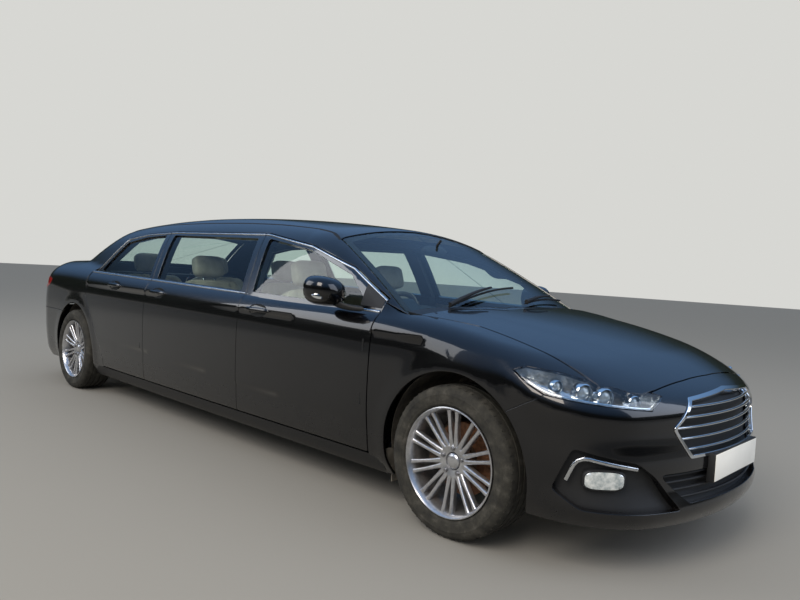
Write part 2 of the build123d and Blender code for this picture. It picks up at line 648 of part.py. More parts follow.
# Roof, screens and the pillars beside the windscreen
ROOF_SPLIT_X = -3590
ROOF_SPLIT_Y = 545
roof_view = [(-200, 1800), (-200, 880), (FRONT_DOOR_FRONT + HALF_GAP, 880), (FRONT_DOOR_FRONT + HALF_GAP, BELT)]
roof_view += [(x + HALF_GAP / 2, z + HALF_GAP) for x, z in RAIL_POINTS]
roof_view += [(ROOF_SPLIT_X, RAIL_POINTS[-1][1] + HALF_GAP), (ROOF_SPLIT_X, 1800)]
roof = ROOF_SKIN & side_cut(roof_view)
roof += ROOF_SKIN & block(ROOF_SPLIT_X, -3900, -ROOF_SPLIT_Y, ROOF_SPLIT_Y, 1200, 1800)
roof = roof - SCREEN_HOLE - REAR_SCREEN_HOLE - TUB
write("roof", roof)
screens = (GLASS_SKIN & SCREEN_HOLE) - TUB
screens += (GLASS_SKIN & REAR_SCREEN_HOLE) - TUB
write("screens", screens)


# Sills below the doors, and the frame that the doors close on
SILL_BOTTOM = 172
SILL_TOP = DOOR_BOTTOM - HALF_GAP - 3
SILL_INNER_Y = 735
sill = SIDE & block(FRONT_DOOR_FRONT + HALF_GAP, REAR_AXLE - FRONT_AXLE + BUMPER_BACK, SILL_INNER_Y, FAR, SILL_BOTTOM, SILL_TOP)
sill += SIDE & block(-(LINER_RADIUS + LINER_WALL + 6), FRONT_DOOR_FRONT + HALF_GAP, SILL_INNER_Y, FAR, SILL_BOTTOM, SILL_TOP)
upstand = SIDE_POST & block(-520, -3600, SILL_INNER_Y, FAR, SILL_TOP, 310)
write("sills", both(sill + upstand))

FRAME_SIDE_VIEW = [(-445, 310), (-445, 925), (-560, 1000), (-820, 1125), (-1210, 1262), (-1690, 1372), (-2850, 1381), (-3270, 1364)]
FRAME_SIDE_VIEW += [(-3640, 1318), (-4050, 1010), (-4020, 760), (-3780, 640), (-3640, 460), (-3600, 310)]
DOORWAY_EDGE = 34
DOORWAY_FRONT_EDGE = 76
low_layer = (SIDE_POST - SIDE_CABIN) & BELOW_BELT
high_layer = CABIN_POST - CABIN_INNER - BELOW_BELT
doorways = None
for row, front, rear in DOOR_ROWS:
    hole = side_cut(door_view(front, rear, DOORWAY_EDGE, DOORWAY_FRONT_EDGE), 560, FAR)
    doorways = hole if doorways is None else doorways + hole
side_frame = ((low_layer + high_layer) & side_cut(FRAME_SIDE_VIEW, 560, FAR)) - doorways
RAIL_VIEW = [(-300, 930), (-1000, 1180), (-1400, 1290), (-1690, 1305), (-2850, 1312), (-3400, 1290), (-3700, 1240), (-3700, 1500), (-300, 1500)]
rail_zone = side_cut(RAIL_VIEW, 500, FAR)
rails = side_frame & rail_zone
posts = side_frame - rail_zone
posts -= block(-545, -620, 700, 830, belt_z(-500) - 10, belt_z(-620) + 20)
for row, front, rear in DOOR_ROWS:
    posts += hinge_arms(front)
write("cant_rails", both(rails))
write("door_posts", both(posts))

# Floor, with the front bulkhead and the boot's floor
FLOOR_THICK = 20
FLOOR_Z = 196
DAMPER_Y = 560
DAMPER_RADIUS = 30
floor_line = [(-440, 925), (-440, FLOOR_Z), (-3860, FLOOR_Z), (-3910, 425), (-4520, 425), (-4560, 250), (-5020, 250), (-5045, 560)]
floor_back = [(-5065, 560), (-5040, 250 - FLOOR_THICK), (-4545, 250 - FLOOR_THICK), (-4505, 405), (-3932, 405)]
floor_back += [(-3882, FLOOR_Z - FLOOR_THICK), (-420, FLOOR_Z - FLOOR_THICK), (-420, 925)]
floor_pan = side_cut(floor_line + floor_back, -FAR, FAR)
floor_pan &= block(-300, -3720, -SILL_INNER_Y, SILL_INNER_Y, 0, 2000) + block(-3700, -5200, -600, 600, 0, 2000)
for side in (-1, 1):
    floor_pan -= Pos(REAR_AXLE, side * DAMPER_Y, 400) * Cylinder(DAMPER_RADIUS + 5, 100)
tunnel = block(-450, -3870, -110, 110, FLOOR_Z, FLOOR_Z + 90) - block(-400, -3850, -92, 92, FLOOR_Z - 30, FLOOR_Z + 72)
floor_pan += tunnel
floor_pan += both(lug)
write("floor_pan", floor_pan)
SHELF_Z = 985
write("parcel_shelf", block(-4010, -4560, -600, 600, SHELF_Z, SHELF_Z + 18))

# Wheelhouse liners and mud flaps
def liner(axle_x, inner_y):
    shell = tube_y(axle_x, inner_y, 893, TYRE_RADIUS, LINER_RADIUS + LINER_WALL) - tube_y(axle_x, inner_y + LINER_WALL, FAR, TYRE_RADIUS, LINER_RADIUS)
    x = axle_x - FRONT_AXLE
    shell &= block(x - 500, x + 500, 0, FAR, 300, 900)
    shell -= block(x - 300, x + 300, 0, inner_y + 60, 0, 520)
    return shell & SIDE_DOOR


write("wheel_liners", both(liner(FRONT_AXLE, LINER_INNER_Y)) + both(liner(REAR_AXLE, 640)))


FLAP_THICK = 5
FLAP_BOTTOM = 130


def mud_flap(x, outer_y):
    """A flap that hangs against the body just behind a wheel."""
    hung = block(x, x + FLAP_THICK, 700, FAR, SILL_BOTTOM, 298) & TUB_WING
    return hung + block(x, x + FLAP_THICK, 700, outer_y, FLAP_BOTTOM, SILL_BOTTOM + 10)


flap_x = -(LINER_RADIUS + LINER_WALL + 6)
write("mud_flaps", both(mud_flap(flap_x, 815)) + both(mud_flap(-WHEELBASE + flap_x, 800)))

# Tyres and wheels, built about Z with the outside upwards
HALF_TYRE = TYRE_WIDTH / 2
HALF_RIM = RIM_WIDTH / 2
RIM_FLANGE = 8
TYRE_SIDE = [
    (RIM_SEAT_RADIUS, HALF_RIM - RIM_FLANGE), (RIM_RADIUS + 4, HALF_RIM - RIM_FLANGE), (RIM_RADIUS + 12, HALF_TYRE - 5),
    (285, HALF_TYRE), (314, HALF_TYRE - 3), (TYRE_RADIUS, HALF_TYRE - TYRE_SHOULDER),
]
TYRE_INSIDE = [(RIM_SEAT_RADIUS, 78), (285, 102), (318, 84)]


def ring(half):
    """A ring turned from a symmetric section given on one side."""
    points = half + [(r, -w) for r, w in reversed(half)]
    face = Face(Wire.make_polygon([(r, 0, w) for r, w in points]))
    return revolve(face, Axis.Z)


def tyre():
    return ring(TYRE_SIDE) - ring(TYRE_INSIDE)


def wheel():
    """A rim with its spokes, hub and brake disc."""
    lip = HALF_RIM - RIM_FLANGE
    rim = ring([(RIM_BARREL_RADIUS, HALF_RIM), (RIM_RADIUS, HALF_RIM), (RIM_RADIUS, lip), (RIM_SEAT_RADIUS, lip)])
    hub = Pos(0, 0, 30) * Cylinder(HUB_RADIUS, 108)
    hub += Pos(0, 0, -DISC_WIDTH / 2) * Cylinder(DISC_RADIUS, DISC_WIDTH)
    spokes = None
    for i in range(SPOKE_PAIRS):
        for offset in (-7.5, 7.5):
            spoke = Pos((HUB_RADIUS + RIM_BARREL_RADIUS) / 2, 0, 75) * Box(RIM_BARREL_RADIUS - HUB_RADIUS + 16, SPOKE_WIDTH, SPOKE_DEPTH)
            spoke = Rot(0, 0, i * 360 / SPOKE_PAIRS + offset) * spoke
            spokes = spoke if spokes is None else spokes + spoke
    body = rim + hub + spokes
    body -= Pos(0, 0, 5) * Cylinder(STUB_RADIUS + STUB_CLEARANCE, 60)
    for i in range(STUD_COUNT):
        angle = radians(360 * i / STUD_COUNT)
        body -= Pos(STUD_CIRCLE_RADIUS * cos(angle), STUD_CIRCLE_RADIUS * sin(angle), 80) * Cylinder(9, 14)
    return body


def wheel_place(axle_x, side):
    return Pos(axle_x, side * TRACK / 2, TYRE_RADIUS) * Rot(-90 * side, 0, 0)


one_tyre, one_wheel = tyre(), wheel()
CORNERS = [("front_left", FRONT_AXLE, 1), ("front_right", FRONT_AXLE, -1), ("rear_left", REAR_AXLE, 1), ("rear_right", REAR_AXLE, -1)]
for name, axle_x, side in CORNERS:
    write(f"tyre_{name}", wheel_place(axle_x, side) * one_tyre)
    write(f"wheel_{name}", wheel_place(axle_x, side) * one_wheel)

# Wheel carriers with brake calipers, on the left
PIN_Y = TRACK / 2 - STEER_OFFSET
DISC_INNER_Y = TRACK / 2 - DISC_WIDTH
BALL_LOW, BALL_HIGH = 212, 478
EAR = 22


def carrier(axle_x, steered):
    """An upright with its stub axle and brake caliper."""
    x = axle_x - FRONT_AXLE
    y2 = PIN_Y + 17
    clear = 0.3 if steered else 0
    body = block(x - 26, x + 26, PIN_Y - 17, y2, BALL_LOW + clear, BALL_HIGH - clear)
    body += tube_y(axle_x, PIN_Y - 10, y2 + 8, TYRE_RADIUS, 48)
    body += tube_y(axle_x, y2, TRACK / 2 + 30, TYRE_RADIUS, STUB_RADIUS)
    body += block(x - 120, x, PIN_Y + 2, y2 + 10, TYRE_RADIUS - 26, TYRE_RADIUS + 26)
    pads = block(x - 172, x - 108, DISC_INNER_Y - 24, TRACK / 2 + 22, TYRE_RADIUS - 52, TYRE_RADIUS + 52)
    pads -= tube_y(axle_x, DISC_INNER_Y - 5, TRACK / 2 + 5, TYRE_RADIUS, DISC_RADIUS + 6)
    body += pads
    if steered:
        for z in (BALL_LOW, BALL_HIGH):
            body -= Pos(axle_x, PIN_Y, z) * Cylinder(8 + PIN_CLEARANCE, 2 * EAR + 6)
    return body


def arms(axle_x, steered):
    """The links that carry an upright, with the damper and its spring seat."""
    x = axle_x - FRONT_AXLE
    body = None
    for z, dz in ((BALL_LOW, -1), (BALL_HIGH, 1)):
        z2 = z + dz * 22
        points = [(x - 22, PIN_Y + 16), (x + 22, PIN_Y + 16), (x + 30, 600), (x + 120, 440), (x - 120, 440), (x - 30, 600)]
        arm = top_cut(points, min(z, z2), max(z, z2))
        arm -= top_cut([(x - 12, 590), (x + 12, 590), (x + 80, 455), (x - 80, 455)], z - 60, z + 60)
        if steered:
            arm += Pos(axle_x, PIN_Y, z - dz * EAR / 2) * Cylinder(8, EAR + 0.01)
        body = arm if body is None else body + arm
    damper = Pos(axle_x, DAMPER_Y, 450) * Cylinder(DAMPER_RADIUS, 500)
    damper -= block(x - 60, x + 60, 0, FAR, 0, BALL_LOW)
    return body + damper


write("knuckle_left", carrier(FRONT_AXLE, True))
write("knuckle_right", mirror(carrier(FRONT_AXLE, True), about=Plane.XZ))

front_frame = both(arms(FRONT_AXLE, True))
front_frame += both(block(-419, 640, 395, 450, 420, 520))
front_frame += block(-140, 140, -450, 450, 185, 245) + both(block(-140, 140, 400, 450, 185, 500))
front_frame += block(600, 640, -450, 450, 430, 510)
write("front_frame", front_frame)
rear_frame = both(arms(REAR_AXLE, False) + carrier(REAR_AXLE, False))
rear_frame += block(-4130 - 110, -4130 + 110, -450, 450, 190, 260) + both(block(-4130 - 110, -4130 + 110, 400, 450, 190, 404))
write("rear_frame", rear_frame)

# Engine, exhaust and fuel tank
engine = block(60, 560, -380, 300, 255, 740)
write("engine", engine)
EXHAUST_Z = 145
pipe = Pos((ahead(-60) + ahead(-4600)) / 2, -250, EXHAUST_Z) * Rot(0, 90, 0) * Cylinder(28, 4540)
silencer = Pos(ahead(-4780), -250, EXHAUST_Z + 25) * Rot(0, 90, 0) * scale(Cylinder(1, 380), by=(48, 150, 1))
exhaust = pipe + silencer
exhaust += Pos(ahead(-5010), -330, EXHAUST_Z + 20) * Rot(0, 90, 0) * Cylinder(30, 108)
for x in (-800, -2400, -4400):
    exhaust += block(x - 15, x + 15, -262, -238, EXHAUST_Z, FLOOR_Z - FLOOR_THICK if x > -3700 else 405)
write("exhaust", exhaust)
write("fuel_tank", block(-3050, -3640, 130, 640, 120, FLOOR_Z - FLOOR_THICK))

# Dashboard, steering wheel and seats
dash_view = [(-441, 640), (-441, 905), (-640, 925), (-770, 885), (-800, 800), (-760, 700), (-640, 640)]
dashboard = side_cut(dash_view, -745, 745)
COLUMN_X, COLUMN_Y, COLUMN_Z = -905, -370, 855
COLUMN_TILT = 24
SHAFT_RADIUS = 12
column = Pos(ahead(COLUMN_X), COLUMN_Y, COLUMN_Z) * Rot(0, 90 + COLUMN_TILT, 0)
dashboard += column * Pos(0, 0, 130) * Cylinder(32, 150)
dashboard -= column * Pos(0, 0, 70) * Cylinder(SHAFT_RADIUS + PIN_CLEARANCE, 40)
dashboard += block(-600, -1350, -100, 100, FLOOR_Z + 90, 660)
write("dashboard", dashboard)
WHEEL_RIM_RADIUS = 182
steering = column * (Torus(WHEEL_RIM_RADIUS, 14) + Cylinder(48, 36) + Box(18, 2 * WHEEL_RIM_RADIUS - 14, 14))
steering += column * (Pos(85, 0, 0) * Box(180, 22, 12))
steering += column * Pos(0, 0, 48) * Cylinder(SHAFT_RADIUS, 66)
write("steering_wheel", steering)


def seat(x, y, width, back_height):
    """A seat: cushion, leaning backrest and headrest, with X at the cushion's front."""
    cushion = Box(520, width, 170)
    cushion = Pos(ahead(x - 260), y, 400) * fillet(cushion.edges(), 40)
    leaning = Pos(ahead(x - 560), y, 440 + back_height / 2) * Rot(0, -17, 0)
    back = Box(130, width - 20, back_height)
    back = leaning * fillet(back.edges(), 40)
    rest = Box(90, 260, 170)
    rest = leaning * Pos(8, 0, back_height / 2 + 112) * fillet(rest.edges(), 30)
    posts = leaning * Pos(0, 0, back_height / 2 + 30) * (Pos(0, 50, 0) * Cylinder(7, 120) + Pos(0, -50, 0) * Cylinder(7, 120))
    return cushion + back + rest + posts


SEAT_FOOT_INSET = 86


def seat_feet(x, y, width):
    half = width / 2 - SEAT_FOOT_INSET
    return block(x - 80, x - 440, y - half, y + half, FLOOR_Z, 330)


for name, x, places, width in (
    ("front_seats", -1010, (-370, 370), 500),
    ("middle_seats", -2260, (-370, 370), 520),
    ("rear_seats", -3330, (-332, 332), 600),
):
    seats = None
    for y in places:
        one = seat(x, y, width, 560) + seat_feet(x, y, width)
        seats = one if seats is None else seats + one
    write(name, seats)


# Door mirrors, on stalks from the front doors
def door_mirror():
    shell = Pos(ahead(-795), 962, 1035) * scale(Sphere(1), by=(78, 108, 82))
    shell -= block(-845, -1000, 800, 1200, 900, 1200)
    stalk = Pos(ahead(-640), 890, 985) * Box(10, 10, 10)
    stalk = Solid.make_loft([
        Wire.make_polygon([(ahead(-600), 862, 945), (ahead(-690), 862, 950), (ahead(-690), 862, 985), (ahead(-600), 862, 975)]),
        Wire.make_polygon([(ahead(-745), 935, 985), (ahead(-800), 935, 985), (ahead(-800), 935, 1010), (ahead(-745), 935, 1010)]),
    ], ruled=True)
    return (shell + stalk) - CABIN - SIDE


one_mirror = door_mirror()
write("door_mirror_left", one_mirror)
write("door_mirror_right", mirror(one_mirror, about=Plane.XZ))
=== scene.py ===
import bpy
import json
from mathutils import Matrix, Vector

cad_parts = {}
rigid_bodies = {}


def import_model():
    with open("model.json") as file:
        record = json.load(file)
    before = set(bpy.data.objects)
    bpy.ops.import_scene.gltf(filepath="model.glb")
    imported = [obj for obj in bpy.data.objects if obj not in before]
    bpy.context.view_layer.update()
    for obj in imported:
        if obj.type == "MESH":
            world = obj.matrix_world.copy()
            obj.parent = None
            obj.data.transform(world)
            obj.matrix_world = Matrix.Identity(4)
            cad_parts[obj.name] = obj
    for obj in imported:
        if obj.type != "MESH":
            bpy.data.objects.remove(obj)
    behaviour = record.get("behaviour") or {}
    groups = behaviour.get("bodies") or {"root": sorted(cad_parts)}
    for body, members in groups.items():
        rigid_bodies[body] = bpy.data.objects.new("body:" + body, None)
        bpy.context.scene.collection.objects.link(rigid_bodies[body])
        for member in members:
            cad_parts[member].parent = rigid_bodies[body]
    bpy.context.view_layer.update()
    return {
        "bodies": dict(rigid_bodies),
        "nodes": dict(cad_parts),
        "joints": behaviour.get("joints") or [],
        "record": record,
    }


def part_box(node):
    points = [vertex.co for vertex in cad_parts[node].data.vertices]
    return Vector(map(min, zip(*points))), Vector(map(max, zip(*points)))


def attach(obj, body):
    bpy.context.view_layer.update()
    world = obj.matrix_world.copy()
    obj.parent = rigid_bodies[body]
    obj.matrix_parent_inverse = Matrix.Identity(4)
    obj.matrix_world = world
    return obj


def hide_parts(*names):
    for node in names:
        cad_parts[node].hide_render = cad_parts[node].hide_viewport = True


bl_info = {
    "name": "Six-door limousine",
    "version": (1, 0, 0),
    "blender": (4, 5, 0),
    "location": "3D View > Sidebar > Limousine",
    "description": "Finishes a six-door limousine around its packed frame",
    "category": "Object",
}

import json
import math

import bmesh
import bpy
import numpy as np
from mathutils import Matrix, Vector
from mathutils.geometry import delaunay_2d_cdt

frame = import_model()

MM = 0.001


def middle_of(node):
    """The middle of a node's box."""
    low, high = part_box(node)
    return (low + high) / 2


FRONT_WHEEL = middle_of("tyre_front_left")
REAR_WHEEL = middle_of("tyre_rear_left")
AXLE_X = FRONT_WHEEL.x
REAR_X = REAR_WHEEL.x
TYRE_RADIUS = (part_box("tyre_front_left")[1].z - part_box("tyre_front_left")[0].z) / 2
HALF_TYRE = (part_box("tyre_front_left")[1].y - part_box("tyre_front_left")[0].y) / 2
HALF_TRACK = FRONT_WHEEL.y
ARCH_RADIUS = 0.396
ARCH_CENTRE_Z = TYRE_RADIUS
FLARE_RISE, FLARE_REACH = 0.007, 0.055

# The body's form, in millimetres. The lower body in plan at each height:
# height, half width, nose ahead of the front axle, tail behind the rear axle
LEVELS = np.array([
    (170, 845, 852, 985),
    (255, 891, 905, 1018),
    (335, 905, 884, 1035),
    (440, 916, 880, 1045),
    (570, 922, 862, 1050),
    (695, 926, 836, 1050),
    (785, 926, 724, 1042),
    (880, 922, 590, 1020),
    (1010, 870, 430, 966),
    (1150, 720, 300, 930),
]) * MM
NOSE_RADIUS = 1.7
NOSE_CORNER = 0.42
SIDE_RADIUS = 150
TAIL_RADIUS = 3.5
TAIL_CORNER = 0.38
# The bonnet and boot deck at three distances from the middle:
# distance, then places forward of the front axle with their heights
DECK_ROWS = [
    (0, (1000, 702), (300, 896), (-600, 1015), (-4300, 1105), (-4750, 1096), (-5250, 1068)),
    (450, (1000, 655), (300, 883), (-600, 1002), (-4300, 1098), (-4750, 1089), (-5250, 1060)),
    (950, (1000, 560), (300, 808), (-600, 937), (-4300, 1040), (-4750, 1031), (-5250, 1000)),
]
# The cabin's side: height, half width. Its screens and roof in the same way as the decks:
# windscreen base and header, roof peak, rear window header and base
CABIN_LEVELS = np.array([(880, 900), (965, 868), (1150, 790), (1335, 686), (1520, 520)]) * MM
CABIN_ROWS = [
    (0, (-190, 945), (-1090, 1408), (-2500, 1482), (-3830, 1405), (-4620, 1060)),
    (420, (-220, 930), (-1110, 1386), (-2500, 1460), (-3820, 1383), (-4600, 1045)),
    (900, (-330, 906), (-1180, 1300), (-2500, 1385), (-3790, 1300), (-4520, 990)),
]
SCREEN_BULGE = 0.016
REAR_SCREEN_BULGE = 0.012
CABIN_FRONT_RADIUS = 22
CABIN_REAR_RADIUS = 9
CABIN_STRAIGHT = (-1.64, -3.05)
SHOULDER_SOFT = 0.11
RAIL_SOFT = 0.10
PILLAR_SOFT = 0.05
HEADER_SOFT = 0.03


def spline(knots, values):
    """A smooth curve through values at knots, as a function of arrays."""
    count, step = len(knots), np.diff(knots)
    rows, right = np.eye(count), np.zeros(count)
    for i in range(1, count - 1):
        rows[i, i - 1:i + 2] = step[i - 1], 2 * (step[i - 1] + step[i]), step[i]
        right[i] = 6 * ((values[i + 1] - values[i]) / step[i] - (values[i] - values[i - 1]) / step[i - 1])
    bend = np.linalg.solve(rows, right)

    def at(x):
        x = np.clip(x, knots[0], knots[-1])
        i = np.clip(np.searchsorted(knots, x) - 1, 0, count - 2)
        t, h = x - knots[i], step[i]
        slope = (values[i + 1] - values[i]) / h - h * (2 * bend[i] + bend[i + 1]) / 6
        return values[i] + t * slope + t * t * bend[i] / 2 + t**3 * (bend[i + 1] - bend[i]) / (6 * h)

    return at


half_at, nose_at, tail_at = (spline(LEVELS[:, 0], LEVELS[:, i]) for i in (1, 2, 3))
cabin_half_at = spline(CABIN_LEVELS[:, 0], CABIN_LEVELS[:, 1])


def corner_centre(c1, r1, c2y, r2, forward):
    """Where a circle about (c1, 0) meets one about (0, c2y), at the front or rear."""
    dx, dy = -c1, c2y
    d = np.hypot(dx, dy)
    along = (r1 * r1 - r2 * r2 + d * d) / (2 * d)
    side = np.sqrt(np.maximum(r1 * r1 - along * along, 0))
    mx, my = c1 + along * dx / d, along * dy / d
    ax, ay = mx + side * dy / d, my - side * dx / d
    bx, by = mx - side * dy / d, my + side * dx / d
    first = forward * ax > forward * bx
    return np.where(first, ax, bx), np.where(first, ay, by)


def plan_gap(x, y, z):
    """The distance in plan from the lower body's outline, less than zero inside."""
    y = np.abs(y)
    half, nose, tail = half_at(z), AXLE_X + nose_at(z), REAR_X - tail_at(z)
    nose_c, tail_c, side_c = nose - NOSE_RADIUS, tail + TAIL_RADIUS, half - SIDE_RADIUS
    front = np.where(x > nose_c, np.hypot(x - nose_c, y) - NOSE_RADIUS, -1)
    rear = np.where(x < tail_c, np.hypot(x - tail_c, y) - TAIL_RADIUS, -1)
    gap = np.maximum(np.maximum(front, rear), np.hypot(x, y - side_c) - SIDE_RADIUS)
    fx, fy = corner_centre(nose_c, NOSE_RADIUS - NOSE_CORNER, side_c, SIDE_RADIUS - NOSE_CORNER, 1)
    inside = ((fx - nose_c) * (y - fy) >= fy * (x - fx)) & ((x - fx) * (fy - side_c) >= (y - fy) * fx)
    gap = np.where(inside, np.hypot(x - fx, y - fy) - NOSE_CORNER, gap)
    rx, ry = corner_centre(tail_c, TAIL_RADIUS - TAIL_CORNER, side_c, SIDE_RADIUS - TAIL_CORNER, -1)
    inside = (rx * (y - ry) >= (ry - side_c) * (x - rx)) & ((x - rx) * ry >= (y - ry) * (rx - tail_c))
    return np.where(inside, np.hypot(x - rx, y - ry) - TAIL_CORNER, gap)


def arc_height(p, q, r, x):
    """The height at x of the arc through three places that stands up in the middle."""
    (x1, z1), (x2, z2), (x3, z3) = ((AXLE_X + a * MM, b * MM) for a, b in (p, q, r))
    d = 2 * (x1 * (z2 - z3) + x2 * (z3 - z1) + x3 * (z1 - z2))
    s1, s2, s3 = x1 * x1 + z1 * z1, x2 * x2 + z2 * z2, x3 * x3 + z3 * z3
    cx = (s1 * (z2 - z3) + s2 * (z3 - z1) + s3 * (z1 - z2)) / d
    cz = (s1 * (x3 - x2) + s2 * (x1 - x3) + s3 * (x2 - x1)) / d
    radius = math.hypot(x1 - cx, z1 - cz)
    return cz + np.sqrt(np.maximum(radius**2 - (x - cx) ** 2, 0))


def row_blend(rows, heights, y):
    """Heights between three rows, by their distance from the middle."""
    y1, y2 = (rows[1][0] * MM) ** 2, (rows[2][0] * MM) ** 2
    d1, d2 = heights[1] - heights[0], heights[2] - heights[0]
    c = (d2 / y2 - d1 / y1) / (y2 - y1)
    return heights[0] + (d1 / y1 - c * y1) * y * y + c * y**4


def deck_height(x, y):
    """The height of the bonnet and boot deck."""
    heights = []
    for _, nose, bonnet, cowl, deck, boot, tail in DECK_ROWS:
        front = arc_height(nose, bonnet, cowl, x)
        rear = arc_height(deck, boot, tail, x)
        f = (x - AXLE_X) / MM
        share = np.clip((cowl[0] - f) / (cowl[0] - deck[0]), 0, 1)
        between = (cowl[1] + (deck[1] - cowl[1]) * share) * MM
        heights.append(np.where(f > cowl[0], front, np.where(f < deck[0], rear, between)))
    return row_blend(DECK_ROWS, heights, y)


def bulged(p, q, rise):
    """A place in the middle of p and q that stands out by rise."""
    length = math.hypot(q[0] - p[0], q[1] - p[1])
    side = rise / MM / length * (1 if q[0] < p[0] else -1)
    return ((p[0] + q[0]) / 2 + side * (q[1] - p[1]), (p[1] + q[1]) / 2 - side * (q[0] - p[0]))


def soft_max(a, b, reach):
    """The larger of two distances, rounded where they are nearly alike."""
    share = np.clip(1 - np.abs(a - b) / reach, 0, 1)
    return np.maximum(a, b) + share * share * reach / 4


def arch_flare(x, z):
    """How far the wheel arches' lips stand out."""
    out = 0
    for axle in (AXLE_X, REAR_X):
        edge = (np.hypot(x - axle, z - ARCH_CENTRE_Z) - ARCH_RADIUS) / FLARE_REACH
        out = out + FLARE_RISE * np.exp(-edge * edge)
    return out


def crease(x, z, points, depth, soft):
    """A step in a side: proud above a line of (forward, height), fading at its ends."""
    line = np.interp(x, [AXLE_X + p[0] * MM for p in points[::-1]], [p[1] * MM for p in points[::-1]])
    first, last = AXLE_X + points[0][0] * MM, AXLE_X + points[-1][0] * MM
    fade = np.clip((first - x) / 0.35, 0, 1) * np.clip((x - last) / 0.35, 0, 1)
    below = (line - z) / soft
    return depth * fade * np.where(below > 0, np.exp(-below * 0.35) * np.tanh(below * 2), 0)


SHOULDER_LINE = [
    (330, 790), (194, 820), (-51, 839), (-351, 855), (-813, 860), (-1462, 872), (-2670, 893), (-4100, 905),
    (-4650, 905)]
SILL_LINE = [(-660, 403), (-1100, 418), (-2100, 452), (-3000, 482), (-3620, 500)]


def hinge_swell(x, z):
    """How far the front doors' skin stands out over their hinge pins."""
    along, up = (x - AXLE_X + 0.557) / 0.24, (z - 0.52) / 0.17
    return 0.005 * np.exp(-along * along - up * up)


def lower(x, y, z):
    """Less than zero inside the lower body."""
    side = plan_gap(x, y, z) - arch_flare(x, z)
    side = side + crease(x, z, SHOULDER_LINE, 0.011, 0.02)
    side = side + crease(x, z, SILL_LINE, 0.007, 0.02)
    side = side - hinge_swell(x, z)
    deck = (z - deck_height(x, y)) * 0.98
    return soft_max(side, deck, SHOULDER_SOFT)


def upper(x, y, z):
    """Less than zero inside the cabin."""
    f = x - AXLE_X
    bow = np.where(f > CABIN_STRAIGHT[0], (f - CABIN_STRAIGHT[0]) ** 2 / (2 * CABIN_FRONT_RADIUS), 0)
    bow = np.where(f < CABIN_STRAIGHT[1], (f - CABIN_STRAIGHT[1]) ** 2 / (2 * CABIN_REAR_RADIUS), bow)
    side = (np.abs(y) - cabin_half_at(z) + bow) * 0.9
    screens, roofs, backs = [], [], []
    for _, base, header, peak, rear_header, rear_base in CABIN_ROWS:
        screens.append(arc_height(base, bulged(base, header, SCREEN_BULGE), header, x))
        roofs.append(arc_height(header, peak, rear_header, x))
        backs.append(arc_height(rear_header, bulged(rear_header, rear_base, REAR_SCREEN_BULGE), rear_base, x))
    screen, roof, back = (z - row_blend(CABIN_ROWS, h, y) for h in (screens, roofs, backs))
    top = soft_max(screen * 0.88, roof, HEADER_SOFT)
    top = soft_max(top, back * 0.92, HEADER_SOFT)
    steep = np.clip((screen - roof) / 0.1 + 0.5, 0, 1)
    return soft_max(side, top, RAIL_SOFT * (1 - steep) + PILLAR_SOFT * steep)


SPINE_X = {"nose": AXLE_X + 0.1, "tail": REAR_X - 0.25}
WRAP = {"lid": (REAR_X - 0.62, 0.80)}
# The fan view looks out from a line along the car and turns round its ends
FAN_Y, FAN_Z = 0.3, 0.6
FAN_REAR, FAN_FRONT = REAR_X - 0.35, AXLE_X + 0.25
FAN_LONG, FAN_TALL = 0.65, 0.6


def rays(view, a, b):
    """Start points outside the body and directions inwards, for a view's two coordinates."""
    zero = np.zeros_like(a)
    if view == "side":
        return np.stack([a, zero + 1.25, b], 1), np.stack([zero, zero - 1, zero], 1), 1.2
    if view == "top":
        return np.stack([a, b, zero + 1.75], 1), np.stack([zero, zero, zero - 1], 1), 1.1
    if view == "front":
        return np.stack([zero + AXLE_X + 1.2, a, b], 1), np.stack([zero - 1, zero, zero], 1), 0.9
    if view == "back":
        return np.stack([zero + REAR_X - 1.3, a, b], 1), np.stack([zero + 1, zero, zero], 1), 1.0
    if view in SPINE_X:
        out = np.stack([np.cos(a), np.sin(a), zero], 1)
        start = np.stack([zero + SPINE_X[view], zero, b], 1)
        return start + out * 1.6, -out, 1.5
    if view == "fan":
        turn = np.where(a < 0, a, np.maximum(a - (FAN_FRONT - FAN_REAR), 0)) / FAN_LONG
        tilt = b / FAN_TALL
        out = np.stack([np.sin(turn) * np.cos(tilt), np.cos(turn) * np.cos(tilt), np.sin(tilt)], 1)
        start = np.stack([FAN_REAR + np.clip(a, 0, FAN_FRONT - FAN_REAR), zero + FAN_Y, zero + FAN_Z], 1)
        return start + out * 1.25, -out, 1.2
    x, z = WRAP[view]
    out = np.stack([np.cos(a), zero, np.sin(a)], 1)
    start = np.stack([zero + x, b, zero + z], 1)
    return start + out * 0.8, -out, 0.75


def lift(surface, view, points):
    """The places where a view's points meet a surface."""
    points = np.atleast_2d(np.asarray(points, float))
    start, way, reach = rays(view, points[:, 0], points[:, 1])
    steps = 60
    near = np.zeros(len(points))
    far = np.full(len(points), reach)
    found = np.zeros(len(points), bool)
    for i in range(1, steps + 1):
        at = reach * i / steps
        p = start + way * at
        now = (surface(p[:, 0], p[:, 1], p[:, 2]) < 0) & ~found
        far[now] = at
        near[now] = reach * (i - 1) / steps
        found |= now
    for _ in range(26):
        at = (near + far) / 2
        p = start + way * at[:, None]
        inside = surface(p[:, 0], p[:, 1], p[:, 2]) < 0
        far = np.where(inside, at, far)
        near = np.where(inside, near, at)
    return start + way * ((near + far) / 2)[:, None]


def normals(surface, points):
    """Unit directions out of a surface."""
    step = 0.0004
    grad = []
    for i in range(3):
        a, b = points.copy(), points.copy()
        a[:, i] += step
        b[:, i] -= step
        grad.append(surface(*a.T) - surface(*b.T))
    grad = np.stack(grad, 1)
    return grad / np.linalg.norm(grad, axis=1)[:, None]


